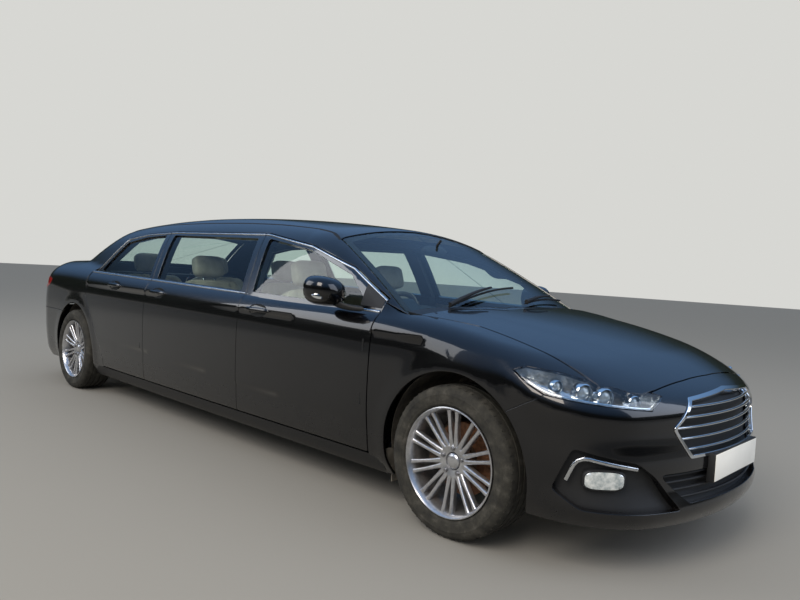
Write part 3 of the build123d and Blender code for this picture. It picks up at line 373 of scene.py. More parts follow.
def seen(view, points):
    """A view's two coordinates of places in space."""
    x, y, z = np.asarray(points, float).T
    if view == "side":
        return np.stack([x, z], 1)
    if view == "top":
        return np.stack([x, y], 1)
    if view in ("front", "back"):
        return np.stack([y, z], 1)
    if view in SPINE_X:
        angle = np.arctan2(y, x - SPINE_X[view])
        if view == "tail":
            angle = np.where(angle < 0, angle + 2 * np.pi, angle)
        return np.stack([angle, z], 1)
    if view == "fan":
        base = np.clip(x, FAN_REAR, FAN_FRONT)
        turn = np.arctan2(x - base, y - FAN_Y)
        tilt = np.arctan2(z - FAN_Z, np.hypot(x - base, y - FAN_Y))
        return np.stack([base - FAN_REAR + turn * FAN_LONG, tilt * FAN_TALL], 1)
    cx, cz = WRAP[view]
    angle = np.arctan2(z - cz, x - cx)
    return np.stack([np.where(angle < 0, angle + 2 * np.pi, angle), y], 1)


def placed(points):
    """Side or top view points in millimetres forward of the front axle, in metres."""
    return [(AXLE_X + a * MM, b * MM) for a, b in points]


def in_space(points):
    """Places in millimetres forward of the front axle, to the left and up, in metres."""
    return [(AXLE_X + f * MM, y * MM, z * MM) for f, y, z in points]


def softened(points, radius, step=0.012):
    """A closed outline with rounded corners and evenly divided sides."""
    points = [Vector(p) for p in points]
    count, made = len(points), []
    radii = radius if isinstance(radius, (list, tuple)) else [radius] * count
    for i in range(count):
        before, here, after = points[i - 1], points[i], points[(i + 1) % count]
        u, v = (before - here), (after - here)
        lu, lv = u.length, v.length
        u.normalize()
        v.normalize()
        turn = math.pi - u.angle(v, math.pi)
        cut = min(radii[i] * math.tan(turn / 2), lu * 0.45, lv * 0.45)
        if cut < 1e-5:
            made.append(here)
            continue
        a, b = here + u * cut, here + v * cut
        pieces = max(2, int(turn * 6))
        for k in range(pieces + 1):
            t = k / pieces
            made.append(a * (1 - t) ** 2 + here * 2 * t * (1 - t) + b * t * t)
    full = []
    for i, p in enumerate(made):
        q = made[(i + 1) % len(made)]
        pieces = max(1, int((q - p).length / step))
        full += [p.lerp(q, k / pieces) for k in range(pieces)]
    return np.array([(p.x, p.y) for p in full])


def within(points, outline):
    """Which points lie inside a closed outline."""
    x, y = points[:, 0][:, None], points[:, 1][:, None]
    x1, y1 = outline[:, 0][None], outline[:, 1][None]
    x2, y2 = np.roll(outline[:, 0], -1)[None], np.roll(outline[:, 1], -1)[None]
    cross = ((y1 > y) != (y2 > y)) & (x < (x2 - x1) * (y - y1) / np.where(y2 == y1, 1e-12, y2 - y1) + x1)
    return cross.sum(1) % 2 == 1


def clear_of(points, outline, gap):
    """Which points stay a gap away from an outline."""
    a, b = outline[None], np.roll(outline, -1, 0)[None]
    p = points[:, None]
    d = b - a
    t = np.clip(((p - a) * d).sum(2) / np.maximum((d * d).sum(2), 1e-12), 0, 1)
    return (np.linalg.norm(p - a - d * t[..., None], axis=2) > gap).all(1)


def filled(outline, holes, spacing, scale=1.0):
    """Triangles that fill an outline, and their points. Scale stretches the first coordinate."""
    stretch = np.array([scale, 1.0])
    outline = outline * stretch
    holes = [h * stretch for h in holes]
    low, high = outline.min(0), outline.max(0)
    xs = np.arange(low[0], high[0], spacing)
    ys = np.arange(low[1], high[1], spacing * 0.87)
    grid = np.array([(x + (j % 2) * spacing / 2, y) for j, y in enumerate(ys) for x in xs])
    grid = grid[within(grid, outline)]
    grid = grid[clear_of(grid, outline, spacing * 0.45)]
    for hole in holes:
        grid = grid[~within(grid, hole)]
        grid = grid[clear_of(grid, hole, spacing * 0.45)]
    points, edges = [], []
    for ring in [outline, *holes]:
        start = len(points)
        points += [tuple(p) for p in ring]
        edges += [(start + i, start + (i + 1) % len(ring)) for i in range(len(ring))]
    points += [tuple(p) for p in grid]
    made = delaunay_2d_cdt([Vector(p) for p in points], edges, [], 0, 1e-7)
    verts = np.array([(v.x, v.y) for v in made[0]])
    faces = np.array([f for f in made[2] if len(f) == 3])
    centres = verts[faces].mean(1)
    keep = within(centres, outline)
    for hole in holes:
        keep &= ~within(centres, hole)
    faces = main_patch(faces[keep])
    used = np.unique(faces)
    place = np.full(len(verts), -1)
    place[used] = np.arange(len(used))
    return verts[used] / stretch, place[faces]


def main_patch(faces):
    """The largest group of triangles that share edges."""
    sides = {}
    for i, (a, b, c) in enumerate(faces.tolist()):
        for edge in ((a, b), (b, c), (c, a)):
            sides.setdefault(tuple(sorted(edge)), []).append(i)
    mates = {}
    for pair in sides.values():
        for i in pair:
            mates.setdefault(i, []).extend(pair)
    left, best = set(range(len(faces))), []
    while left:
        group, todo = [], [left.pop()]
        while todo:
            here = todo.pop()
            group.append(here)
            for mate in mates[here]:
                if mate in left:
                    left.remove(mate)
                    todo.append(mate)
        best = max(best, group, key=len)
    return faces[sorted(best)]


def edge_rings(faces):
    """The closed rings of outer edges of triangles."""
    seen_edges = {}
    for a, b, c in faces.tolist():
        for edge in ((a, b), (b, c), (c, a)):
            seen_edges[edge] = True
    following = {a: b for a, b in seen_edges if (b, a) not in seen_edges}
    rings = []
    while following:
        start = next(iter(following))
        ring = [start]
        here = following.pop(start)
        while here != start and here in following:
            ring.append(here)
            here = following.pop(here)
        if len(ring) > 2:
            rings.append(ring)
    return rings


def set_smooth(mesh, corner_normals):
    """Gives a mesh its own corner normals."""
    mesh.polygons.foreach_set("use_smooth", [True] * len(mesh.polygons))
    mesh.normals_split_custom_set([tuple(n) for n in corner_normals])


def build(name, verts, faces, slots, corner_normals, materials):
    """A mesh object from plain lists."""
    mesh = bpy.data.meshes.new(name)
    mesh.from_pydata([tuple(v) for v in verts], [], [tuple(int(i) for i in f) for f in faces])
    for material in materials:
        mesh.materials.append(material)
    mesh.polygons.foreach_set("material_index", slots)
    set_smooth(mesh, corner_normals)
    mesh.update()
    thing = bpy.data.objects.new(name, mesh)
    bpy.context.scene.collection.objects.link(thing)
    return thing


HEM = 0.0022
# Metres along the surface for one radian, in the charts that turn round an end
CHART_SCALE = {"nose": 0.75, "tail": 0.85}


def shell_parts(surface, view, outline, holes=(), spacing=0.03, thick=0.003, inset=0.0, hem=HEM, bump=None):
    """A panel's points, faces, material slots and corner normals: skin, rolled hem and back."""
    flat, faces = filled(outline, list(holes), spacing, CHART_SCALE.get(view, 1.0))
    points = lift(surface, view, flat)
    up = normals(surface, points)
    if bump is not None:
        points = points + up * bump(points)[:, None]
    points = points - up * inset
    a, b, c = (points[faces[:, i]] for i in range(3))
    if (np.cross(b - a, c - a) * up[faces[:, 0]]).sum() < 0:
        faces = faces[:, ::-1]
    depth = thick(points) if callable(thick) else np.full(len(points), thick)
    verts = [*points]
    normal = [*up]
    quads = []
    back_start = len(verts)
    verts += [*(points - up * np.maximum(depth, hem * 1.05)[:, None])]
    normal += [*(-up)]
    for ring in edge_rings(faces):
        count = len(ring)
        ring_p, ring_n, ring_d = points[ring], up[ring], depth[ring]
        along = np.roll(ring_p, -1, 0) - np.roll(ring_p, 1, 0)
        out = np.cross(along, ring_n)
        out /= np.maximum(np.linalg.norm(out, axis=1), 1e-9)[:, None]
        rows = [(0, 0, ring_n), (0.29, 0.71, ring_n * 0.71 + out * 0.71), (1, 1, out)]
        starts = []
        for fall, reach, way in rows:
            starts.append(len(verts))
            verts += [*(ring_p + out * hem * reach - ring_n * hem * fall)]
            normal += [*way]
        starts.append(len(verts))
        verts += [*(ring_p + out * hem - ring_n * np.maximum(ring_d, hem * 1.05)[:, None])]
        normal += [*out]
        for i in range(count):
            j = (i + 1) % count
            for first, second in zip(starts, starts[1:]):
                quads.append((first + j, first + i, second + i, second + j))
            quads.append((starts[-1] + j, starts[-1] + i, back_start + ring[i], back_start + ring[j]))
    back = faces[:, ::-1] + back_start
    quads = [q for q in quads if len(set(q)) == 4]
    every = [*faces.tolist(), *quads, *back.tolist()]
    slots = [0] * (len(faces) + len(quads)) + [1] * len(back)
    normal = np.array(normal)
    corner = [normal[i] for f in every for i in f]
    return np.array(verts), every, slots, corner


def joined(parts):
    """Several shells as one list of points, faces, slots and normals."""
    verts, faces, slots, corner = [], [], [], []
    for v, f, s, n in parts:
        start = len(verts)
        verts += [*v]
        faces += [tuple(i + start for i in face) for face in f]
        slots += s
        corner += n
    return verts, faces, slots, corner


def mirrored(part):
    """A shell on the other side of the car."""
    v, f, s, n = part
    verts = [(p[0], -p[1], p[2]) for p in v]
    faces, corner, at = [], [], 0
    for face in f:
        faces.append(tuple(reversed(face)))
        corner += [(m[0], -m[1], m[2]) for m in reversed(n[at:at + len(face)])]
        at += len(face)
    return verts, faces, s, corner


def hexa(value):
    """An sRGB hex colour in linear light."""
    def one(c):
        return c / 12.92 if c <= 0.04045 else ((c + 0.055) / 1.055) ** 2.4
    value = value.lstrip("#")
    return tuple(one(int(value[i:i + 2], 16) / 255) for i in (0, 2, 4)) + (1.0,)


def node(tree, kind, settings=None, **links):
    """Adds a node with its settings and its inputs' values or links."""
    made = tree.nodes.new(kind)
    for name, value in (settings or {}).items():
        setattr(made, name, value)
    for name, value in links.items():
        socket = made.inputs[int(name[1:]) if name[1:].isdigit() else name.replace("_", " ")]
        if isinstance(value, bpy.types.NodeSocket):
            tree.links.new(value, socket)
        else:
            socket.default_value = value
    return made


def new_material(name):
    """A material with its tree emptied but for a surface and an output."""
    material = bpy.data.materials.new(name)
    material.use_nodes = True
    tree = material.node_tree
    tree.nodes.clear()
    shader = node(tree, "ShaderNodeBsdfPrincipled")
    output = node(tree, "ShaderNodeOutputMaterial")
    tree.links.new(shader.outputs[0], output.inputs[0])
    return material, tree, shader


def put(shader, **values):
    """Sets a shader's inputs that are the same everywhere."""
    for name, value in values.items():
        shader.inputs[name.replace("_", " ")].default_value = value


def noise(tree, size, detail=3.0, roughness=0.5, stretch=(1, 1, 1)):
    """Noise whose grains measure about size metres."""
    where = node(tree, "ShaderNodeTexCoord").outputs["Object"]
    mapped = node(tree, "ShaderNodeMapping", Vector=where, Scale=stretch).outputs[0]
    return node(
        tree, "ShaderNodeTexNoise", Vector=mapped, Scale=1 / size, Detail=detail, Roughness=roughness
    ).outputs[0]


def ramp(tree, value, stops):
    """A colour ramp from (place, hex colour) stops."""
    made = node(tree, "ShaderNodeValToRGB")
    tree.links.new(value, made.inputs[0])
    marks = made.color_ramp.elements
    marks[0].position, marks[0].color = stops[0][0], hexa(stops[0][1])
    marks[1].position, marks[1].color = stops[-1][0], hexa(stops[-1][1])
    for place, colour in stops[1:-1]:
        mark = marks.new(place)
        mark.color = hexa(colour)
    return made.outputs[0]


def bumped(tree, shader, height, depth, strength=0.5):
    """Adds fine relief to a shader."""
    made = node(tree, "ShaderNodeBump", Height=height, Distance=depth, Strength=strength)
    tree.links.new(made.outputs[0], shader.inputs["Normal"])


def maths(tree, kind, first, second):
    """One step of reckoning on two values."""
    return node(tree, "ShaderNodeMath", {"operation": kind}, i0=first, i1=second).outputs[0]


def span(tree, value, low, high, to_low=0.0, to_high=1.0):
    """Maps a range of values to another."""
    return node(tree, "ShaderNodeMapRange", i0=value, i1=low, i2=high, i3=to_low, i4=to_high).outputs[0]


def black_gloss_paint():
    """Black two-coat car paint, polished clear coat over a near-black base, with dust low down."""
    material, tree, shader = new_material("black_gloss_paint")
    base = (*settings().paint_colour, 1.0)
    put(shader, Base_Color=base, Roughness=0.25, Specular_IOR_Level=0.15)
    put(shader, Coat_Weight=1.0, Coat_Roughness=0.03, Coat_IOR=1.5)
    where = node(tree, "ShaderNodeTexCoord").outputs["Object"]
    height = node(tree, "ShaderNodeSeparateXYZ", Vector=where).outputs[2]
    low = span(tree, height, 0.42, 0.18)
    dusty = noise(tree, 0.11, 5, 0.65)
    film = maths(tree, "MULTIPLY", low, span(tree, dusty, 0.35, 0.7))
    colour = node(tree, "ShaderNodeMix", {"data_type": "RGBA"}, Factor=span(tree, film, 0, 1, 0, 0.08))
    colour.inputs[6].default_value = base
    colour.inputs[7].default_value = hexa("#4a443c")
    tree.links.new(colour.outputs[2], shader.inputs["Base Color"])
    tree.links.new(span(tree, film, 0, 1, 0.25, 0.5), shader.inputs["Roughness"])
    return material


def plain(name, colour, metallic, roughness, spots=None, grain=0, depth=0.0002, coat=0, coat_roughness=0.03):
    """A material of one kind with fine colour variation and, if asked, a fine grain."""
    material, tree, shader = new_material(name)
    put(shader, Base_Color=hexa(colour), Metallic=metallic, Roughness=roughness)
    put(shader, Coat_Weight=coat, Coat_Roughness=coat_roughness)
    if spots:
        size, dark, light = spots
        value = noise(tree, size, 4, 0.6)
        tree.links.new(ramp(tree, value, [(0.3, dark), (0.7, light)]), shader.inputs["Base Color"])
    if grain:
        bumped(tree, shader, noise(tree, grain, 2, 0.6), depth)
    return material


# Each plain finish: its name, colour, metallic share and roughness, then if needed its spots' size
# with two colours, the size and depth of its grain, and its clear coat's weight and roughness
PLAIN_FINISHES = {
    "inner_paint": ("satin_black_e_coat", "#0c0d0f", 0, 0.45, None, 0.003),
    "chrome": ("bright_chrome_plate", "#d9dbdd", 1, 0.09),
    "satin_metal": ("satin_stainless_strip", "#c9cbcd", 1, 0.22, (0.03, "#bcbec0", "#d4d6d8")),
    "pillar": ("piano_black_acrylic", "#050506", 0, 0.12, None, 0, 0, 1, 0.02),
    "rubber": ("black_epdm_rubber", "#101010", 0, 0.75, None, 0.002, 0.0004),
    "trim": ("grained_black_polypropylene", "#17181a", 0, 0.62, None, 0.0015, 0.0004),
    "grey_liner": ("dusty_felt_liner", "#3a3733", 0, 0.95, (0.06, "#2c2a28", "#57524a"), 0.004, 0.001),
    "flap": ("weathered_rubber_flap", "#6b6660", 0, 0.85, (0.05, "#5a5650", "#7d7870")),
    "alloy": ("silver_lacquered_alloy", "#b9babd", 0.85, 0.28, (0.02, "#a9aaad", "#c4c5c8"), 0, 0, 0.6),
    "disc": ("rusty_cast_iron_disc", "#6d4a36", 0.55, 0.55, (0.02, "#4f3626", "#8b6247")),
    "iron": ("cast_iron", "#54473c", 0.5, 0.7, (0.03, "#3e342c", "#6d5a48"), 0.004, 0.0006),
    "red_lens": ("red_acrylic_lens", "#8a0d10", 0, 0.12, None, 0, 0, 1),
    "mirror": ("mirror_glass", "#e8ecee", 1, 0.03),
    "plate": ("white_plate_acrylic", "#f2f2ee", 0, 0.3, (0.2, "#ededea", "#f6f6f3")),
    "leather": ("pale_grey_leather", "#a39e95", 0, 0.48, (0.08, "#968f85", "#b0aaa0"), 0.0016, 0.0005),
    "dark_leather": ("charcoal_leather", "#3a3938", 0, 0.5, None, 0.0016, 0.0005),
    "headlining": ("woven_headlining", "#cfc9bd", 0, 0.95, (0.05, "#c6c0b4", "#d8d2c7"), 0.0014, 0.0004),
    "carpet": ("needled_carpet", "#26262a", 0, 1, None, 0.003, 0.002),
    "steel": ("dusty_black_steel", "#2b2a29", 0.3, 0.7, (0.05, "#211f1e", "#3d3934"), 0.004),
    "bright": ("vacuum_metallised_reflector", "#dfe3e6", 1, 0.12),
    "lamp_dark": ("smoked_lamp_bezel", "#1b1d20", 0.2, 0.3),
    "trim_cloth": ("grey_door_card", "#8d887f", 0, 0.7, (0.1, "#857f76", "#979188"), 0.002, 0.0004),
    "fog_lens": ("ribbed_clear_lens", "#cdd5d8", 0.35, 0.12, (0.02, "#9fabb0", "#eef3f5"), 0.012, 0.002, 1),
    "reflector": (
        "faceted_metallised_reflector", "#cfd4d8", 0.85, 0.2, (0.03, "#8d959b", "#f2f5f7"), 0.03, 0.006),
    "projector": ("glass_projector_lens", "#8f9aa3", 0.35, 0.04, None, 0, 0, 1),
    "red_band": ("bright_red_reflector", "#c0191c", 0, 0.18, None, 0, 0, 1),
    "steel_bolt": ("zinc_plated_bolt", "#8d8d8f", 0.9, 0.35, (0.008, "#77777a", "#a3a3a6")),
    "exhaust_steel": ("heat_stained_steel", "#5b5047", 0.8, 0.5, (0.08, "#463d35", "#7b6f63")),
    "mesh_black": ("black_grille_mesh", "#0b0b0c", 0, 0.55),
}
MATERIALS = {}


def make_materials():
    """Every finish on the car, by its common name."""
    MATERIALS["paint"] = black_gloss_paint()
    MATERIALS["glass"] = car_glass("tinted_laminated_glass", (*settings().glass_tint, 1.0))
    MATERIALS["lamp_glass"] = car_glass("clear_polycarbonate_lens", hexa("#fafbfb"))
    MATERIALS["tyre"] = tyre_rubber()
    for name, row in PLAIN_FINISHES.items():
        MATERIALS[name] = plain(*row)


def car_glass(name, tint):
    """Toughened glass seen through, with a light tint and a sharp reflection."""
    material, tree, shader = new_material(name)
    through = node(tree, "ShaderNodeBsdfTransparent", Color=tint)
    shine = node(tree, "ShaderNodeBsdfGlossy", Color=(1, 1, 1, 1), Roughness=0.01)
    edge = node(tree, "ShaderNodeFresnel", IOR=1.5)
    back = node(tree, "ShaderNodeNewGeometry").outputs["Backfacing"]
    share = maths(tree, "MULTIPLY", edge.outputs[0], maths(tree, "SUBTRACT", 1.0, back))
    mixed = node(tree, "ShaderNodeMixShader", i0=share, i1=through.outputs[0], i2=shine.outputs[0])
    output = next(n for n in tree.nodes if n.type == "OUTPUT_MATERIAL")
    tree.links.new(mixed.outputs[0], output.inputs[0])
    tree.nodes.remove(shader)
    return material


def tyre_rubber():
    """Tyre rubber, greyed by road dust on its tread and in the sidewall's rings."""
    material, tree, shader = new_material("dusty_tyre_rubber")
    put(shader, Roughness=0.85, Specular_IOR_Level=0.3)
    value = noise(tree, 0.05, 5, 0.65)
    tree.links.new(
        ramp(tree, value, [(0.25, "#1c1c1c"), (0.55, "#34332f"), (0.8, "#504e4a")]),
        shader.inputs["Base Color"])
    bumped(tree, shader, noise(tree, 0.004, 2), 0.0004)
    return material


# Door lines and panel outlines, in millimetres: forward of the front axle, to the left, up
SHUT = 7
DOOR_ROWS = [("front", -512, -1643), ("middle", -1643, -2848), ("rear", -2848, -3560)]
SILL_TOP = 262
HANDLE_UP = {"front": 876, "middle": 900, "rear": 914}
BELT = 965
LEAN = 0.20
RAIL = [(-500, 1006), (-800, 1156), (-1200, 1266), (-1690, 1336), (-2850, 1345), (-3270, 1328), (-3575, 1290)]
REAR_EDGE = [(-3560, 320), (-3600, 400), (-3755, 610), (-3900, 800), (-3925, 1005)]
ARCH = 396
AXLE_UP = 334
REAR_AXLE = -4130
DITCH = [
    (-1048, 664), (-1150, 630), (-1300, 606), (-1690, 594), (-2850, 594), (-3300, 587), (-3700, 572),
    (-3855, 567)]


def belt_z(f):
    """The height of the belt line."""
    return 941 + (-402 - f) * 0.017


def rail_z(f):
    """The height of the doors' top edge."""
    return float(np.interp(-f, [-p[0] for p in RAIL], [p[1] for p in RAIL]))


def shut_x(f, z):
    """Where a door line that leans back above the belt lies at a height."""
    return f - LEAN * (z - BELT) if z > BELT else f


def moved(points, df, dz):
    """Side view points moved forward and up."""
    return [(f + df, z + dz) for f, z in points]


def round_corners(points, radius):
    """An outline in millimetres with its corners rounded."""
    return [tuple(p) for p in softened([(a * MM, b * MM) for a, b in points], radius * MM) / MM]


def dense(points, step, scale=1.0):
    """A run of points divided evenly."""
    points = np.asarray(points, float)
    out = [points[:1]]
    for p, q in zip(points, points[1:]):
        count = max(1, int(np.linalg.norm((q - p) * np.asarray(scale)) / step))
        out.append(p + (q - p) * (np.arange(1, count + 1) / count)[:, None])
    return np.concatenate(out)


def run_points(surface, view, points, step=0.012):
    """Places in space along a run of points given in a view."""
    if view == "space":
        return dense(in_space(points), step)
    if view in ("side", "top"):
        flat = placed(points)
    elif view in ("front", "back"):
        flat = [(a * MM, b * MM) for a, b in points]
    elif view in SPINE_X:
        return lift(surface, view, dense([(math.radians(a), b * MM) for a, b in points], step, (0.75, 1)))
    return lift(surface, view, dense(flat, step))


def chart_line(surface, chart, *runs):
    """A line in a chart, from runs of points given in other views."""
    return np.concatenate([seen(chart, run_points(surface, view, points)) for view, points in runs])


def thinned(line, gap):
    """A closed line without the points that lie within a gap of the one before."""
    return line[np.linalg.norm(line - np.roll(line, 1, 0), axis=1) > gap]


def outline_of(surface, chart, *runs):
    """A closed outline in a chart, from runs of points given in other views."""
    return thinned(chart_line(surface, chart, *runs), 0.0025)


def scaled(line, scale):
    """A closed outline scaled about its middle."""
    middle = line.mean(0)
    return middle + (line - middle) * scale


def widened(line, by):
    """A closed outline whose farthest points lie farther out by a distance."""
    return scaled(line, 1 + by / np.abs(line - line.mean(0)).max(0))


def turns(count):
    """Angles evenly round a circle."""
    return np.linspace(0, 2 * math.pi, count, endpoint=False)


def boxy(value, power):
    """A sine or cosine drawn outwards, so that a round section comes nearer to a box."""
    return math.copysign(abs(value) ** power, value)


def whole(x, y, z):
    """Less than zero inside the body and cabin together, blended where they meet."""
    return -soft_max(-lower(x, y, z), -np.maximum(upper(x, y, z), 0.9 - z), 0.022)


def both_sides(part):
    """A shell and its mirror image."""
    return [part, mirrored(part)]


def on_arch(axle, angles):
    """Places on a wheel arch's edge in side view."""
    return [(axle + ARCH * math.cos(a), AXLE_UP + ARCH * math.sin(a)) for a in angles]


def arch_run(axle, z_from, z_to):
    """A wheel arch's edge in side view, from a height behind the wheel to one ahead."""
    start, end = (math.asin((z - AXLE_UP) / ARCH) for z in (z_from, z_to))
    return on_arch(axle, np.linspace(math.pi - start, end, 60))


def strip(name, surface, view, line, width, height, finish, body, inset=0.0, sides=2):
    """A thin raised moulding that follows a line on a surface."""
    points = run_points(surface, view, line, 0.02) if not isinstance(line, np.ndarray) else line
    up = normals(surface, points)
    along = np.gradient(points, axis=0)
    along /= np.linalg.norm(along, axis=1)[:, None]
    across = np.cross(up, along)
    section = [
        (-0.5, 0), (-0.5, 0.45), (-0.42, 0.8), (-0.25, 1), (0, 1.06), (0.25, 1), (0.42, 0.8), (0.5, 0.45),
        (0.5, 0)]
    rows = [points + across * (width * a) + up * (height * b - inset) for a, b in section]
    return tube_of_rows(name, rows, finish, body, sides)


def tube_of_rows(name, rows, finish, body, sides=2):
    """A smooth strip from rows of points along it, and its mirror image."""
    count, across = len(rows[0]), len(rows)
    verts = [tuple(p) for row in rows for p in row]
    faces = [(j * count + i, j * count + i + 1, (j + 1) * count + i + 1, (j + 1) * count + i)
             for j in range(across - 1) for i in range(count - 1)]
    faces += [
        (i, i + 1, (across - 1) * count + i + 1, (across - 1) * count + i)[::-1] for i in range(count - 1)]
    faces.append(tuple(j * count for j in range(across)))
    faces.append(tuple(j * count + count - 1 for j in reversed(range(across))))
    return plain_mesh(name, verts, faces, finish, body, sides, angle=50)


def plain_mesh(name, verts, faces, finish, body, sides=1, angle=35, bevel=0.0, subdivide=0):
    """A mesh piece with softened edges, with its mirror image if it has two sides."""
    mesh = bpy.data.meshes.new(name)
    verts = [tuple(v) for v in verts]
    faces = [tuple(f) for f in faces]
    if sides == 2:
        start = len(verts)
        faces = faces + [tuple(i + start for i in reversed(f)) for f in faces]
        verts = verts + [(x, -y, z) for x, y, z in verts]
    mesh.from_pydata(verts, [], faces)
    mesh.materials.append(MATERIALS[finish])
    thing = bpy.data.objects.new(name, mesh)
    bpy.context.scene.collection.objects.link(thing)
    tidy_mesh(thing, angle, bevel, subdivide)
    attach(thing, body)
    return thing


def tidy_mesh(thing, angle=35, bevel=0.0, subdivide=0, bevel_segments=2):
    """Faces outwards, bevelled edges, and smooth shading up to an angle."""
    bm = bmesh.new()
    bm.from_mesh(thing.data)
    bmesh.ops.remove_doubles(bm, verts=bm.verts, dist=1e-6)
    bmesh.ops.recalc_face_normals(bm, faces=bm.faces)
    bm.to_mesh(thing.data)
    bm.free()
    if bevel:
        modifier = thing.modifiers.new("Bevel", "BEVEL")
        modifier.width, modifier.segments, modifier.limit_method = bevel, bevel_segments, "ANGLE"
        modifier.angle_limit = math.radians(30)
    if subdivide:
        modifier = thing.modifiers.new("Subdivision", "SUBSURF")
        modifier.levels = modifier.render_levels = subdivide
    if bevel or subdivide:
        applied(thing)
    smooth(thing, angle)
    return thing


def smooth(thing, angle=35):
    """Smooth shading but where faces meet at more than an angle."""
    thing.data.polygons.foreach_set("use_smooth", [True] * len(thing.data.polygons))
    thing.data.set_sharp_from_angle(angle=math.radians(angle))


def applied(thing):
    """Turns a piece's modifiers into plain mesh."""
    graph = bpy.context.evaluated_depsgraph_get()
    mesh = bpy.data.meshes.new_from_object(thing.evaluated_get(graph))
    old = thing.data
    thing.modifiers.clear()
    thing.data = mesh
    bpy.data.meshes.remove(old)
    return thing


def loft(name, sections, finish, body, sides=1, closed_ends=True, angle=35, bevel=0.0, subdivide=0):
    """A skin through closed sections of equal numbers of points."""
    count = len(sections[0])
    verts = [tuple(p) for s in sections for p in s]
    faces = []
    for j in range(len(sections) - 1):
        for i in range(count):
            k = (i + 1) % count
            faces.append((j * count + i, j * count + k, (j + 1) * count + k, (j + 1) * count + i))
    if closed_ends:
        faces.append(tuple(reversed(range(count))))
        faces.append(tuple((len(sections) - 1) * count + i for i in range(count)))
    return plain_mesh(name, verts, faces, finish, body, sides, angle, bevel, subdivide)


def turned(name, profile, centre, axis, finish, body, count=64, angle=35, sides=1, close=True):
    """A piece turned about an axis through a centre, from (radius, along) points."""
    axis = Vector(axis).normalized()
    u = axis.orthogonal().normalized()
    v = axis.cross(u)
    centre = Vector(centre)
    rings = []
    for r, w in profile:
        rings.append([centre + axis * w + (u * math.cos(a) + v * math.sin(a)) * r for a in turns(count)])
    if close:
        rings.append(rings[0])
    return loft(name, rings, finish, body, sides, closed_ends=not close, angle=angle)


def box_mesh(low, high):
    """Corners and faces of a block."""
    verts = [(x, y, z) for x in (low[0], high[0]) for y in (low[1], high[1]) for z in (low[2], high[2])]
    faces = [(0, 1, 3, 2), (4, 6, 7, 5), (0, 4, 5, 1), (2, 3, 7, 6), (0, 2, 6, 4), (1, 5, 7, 3)]
    return verts, faces


def block(name, low, high, finish, body, sides=1, bevel=0.004, subdivide=0):
    """A block with rounded edges, from its corners in millimetres."""
    low = (AXLE_X + low[0] * MM, low[1] * MM, low[2] * MM)
    high = (AXLE_X + high[0] * MM, high[1] * MM, high[2] * MM)
    verts, faces = box_mesh(low, high)
    return plain_mesh(name, verts, faces, finish, body, sides, 40, bevel, subdivide)


def around(thing, count, centre, name):
    """A piece repeated evenly round an axle with Geometry Nodes, as one plain mesh."""
    tree = bpy.data.node_groups.new(name, "GeometryNodeTree")
    socket = tree.interface.new_socket
    socket("Geometry", in_out="INPUT", socket_type="NodeSocketGeometry")
    socket("Count", in_out="INPUT", socket_type="NodeSocketInt")
    socket("Material", in_out="INPUT", socket_type="NodeSocketMaterial")
    socket("Geometry", in_out="OUTPUT", socket_type="NodeSocketGeometry")
    start = tree.nodes.new("NodeGroupInput")
    end = tree.nodes.new("NodeGroupOutput")
    points = node(tree, "GeometryNodePoints", Count=start.outputs["Count"])
    index = node(tree, "GeometryNodeInputIndex")
    step = maths(tree, "DIVIDE", 2 * math.pi, start.outputs["Count"])
    angle = maths(tree, "MULTIPLY", index.outputs[0], step)
    spin = node(tree, "FunctionNodeAxisAngleToRotation", Axis=(0, 1, 0), Angle=angle)
    copies = node(
        tree, "GeometryNodeInstanceOnPoints", Points=points.outputs[0], Instance=start.outputs["Geometry"],
        Rotation=spin.outputs[0])
    real = node(tree, "GeometryNodeRealizeInstances", Geometry=copies.outputs[0])
    finish = node(
        tree, "GeometryNodeSetMaterial", Geometry=real.outputs[0], Material=start.outputs["Material"])
    shift = node(tree, "GeometryNodeTransform", Geometry=finish.outputs[0], Translation=tuple(centre))
    tree.links.new(shift.outputs[0], end.inputs[0])
    modifier = thing.modifiers.new(name, "NODES")
    modifier.node_group = tree
    for item in tree.interface.items_tree:
        if item.name == "Count":
            modifier[item.identifier] = count
        if item.name == "Material":
            modifier[item.identifier] = thing.data.materials[0]
    applied(thing)
    smooth(thing)


def paint(name, parts, body, *nodes, front="paint", back=None, slot="black_paint"):
    """A finished panel from its shells, whose back is as its front if it isn't given."""
    back = back or ("inner_paint" if front == "paint" else front)
    thing = build(name, *joined(parts), [MATERIALS[front], MATERIALS[back]])
    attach(thing, body)
    if nodes:
        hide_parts(*nodes)
    return thing


def halved(chart, half, gap=0.002):
    """A closed outline from its left half, mirrored across the car's middle."""
    turn = 2 * math.pi if chart == "tail" else 0
    axis = 0 if chart in ("front", "back", "nose", "tail") else 1
    other = half[::-1].copy()
    other[:, axis] = turn - other[:, axis]
    return thinned(np.concatenate([half, other]), gap)


def top_ring(half, step=0.014):
    """A closed outline in the top view, evenly divided, from its left half in millimetres."""
    line = halved("top", np.array(placed(half)))
    return dense(np.concatenate([line, line[:1]]), step)[:-1]


LAMP_TOP = [
    (296, 903, 782), (331, 876, 801), (464, 813, 791), (546, 776, 775), (590, 722, 768), (623, 674, 763),
    (676, 628, 748), (706, 597, 731), (752, 507, 709)]
LAMP_BOTTOM = [
    (755, 508, 700), (742, 584, 662), (687, 702, 672), (555, 834, 689), (445, 885, 703), (368, 897, 737)]


def grown(points, by):
    """A run of places moved up or down in millimetres."""
    return [(f, y, z + by) for f, y, z in points]


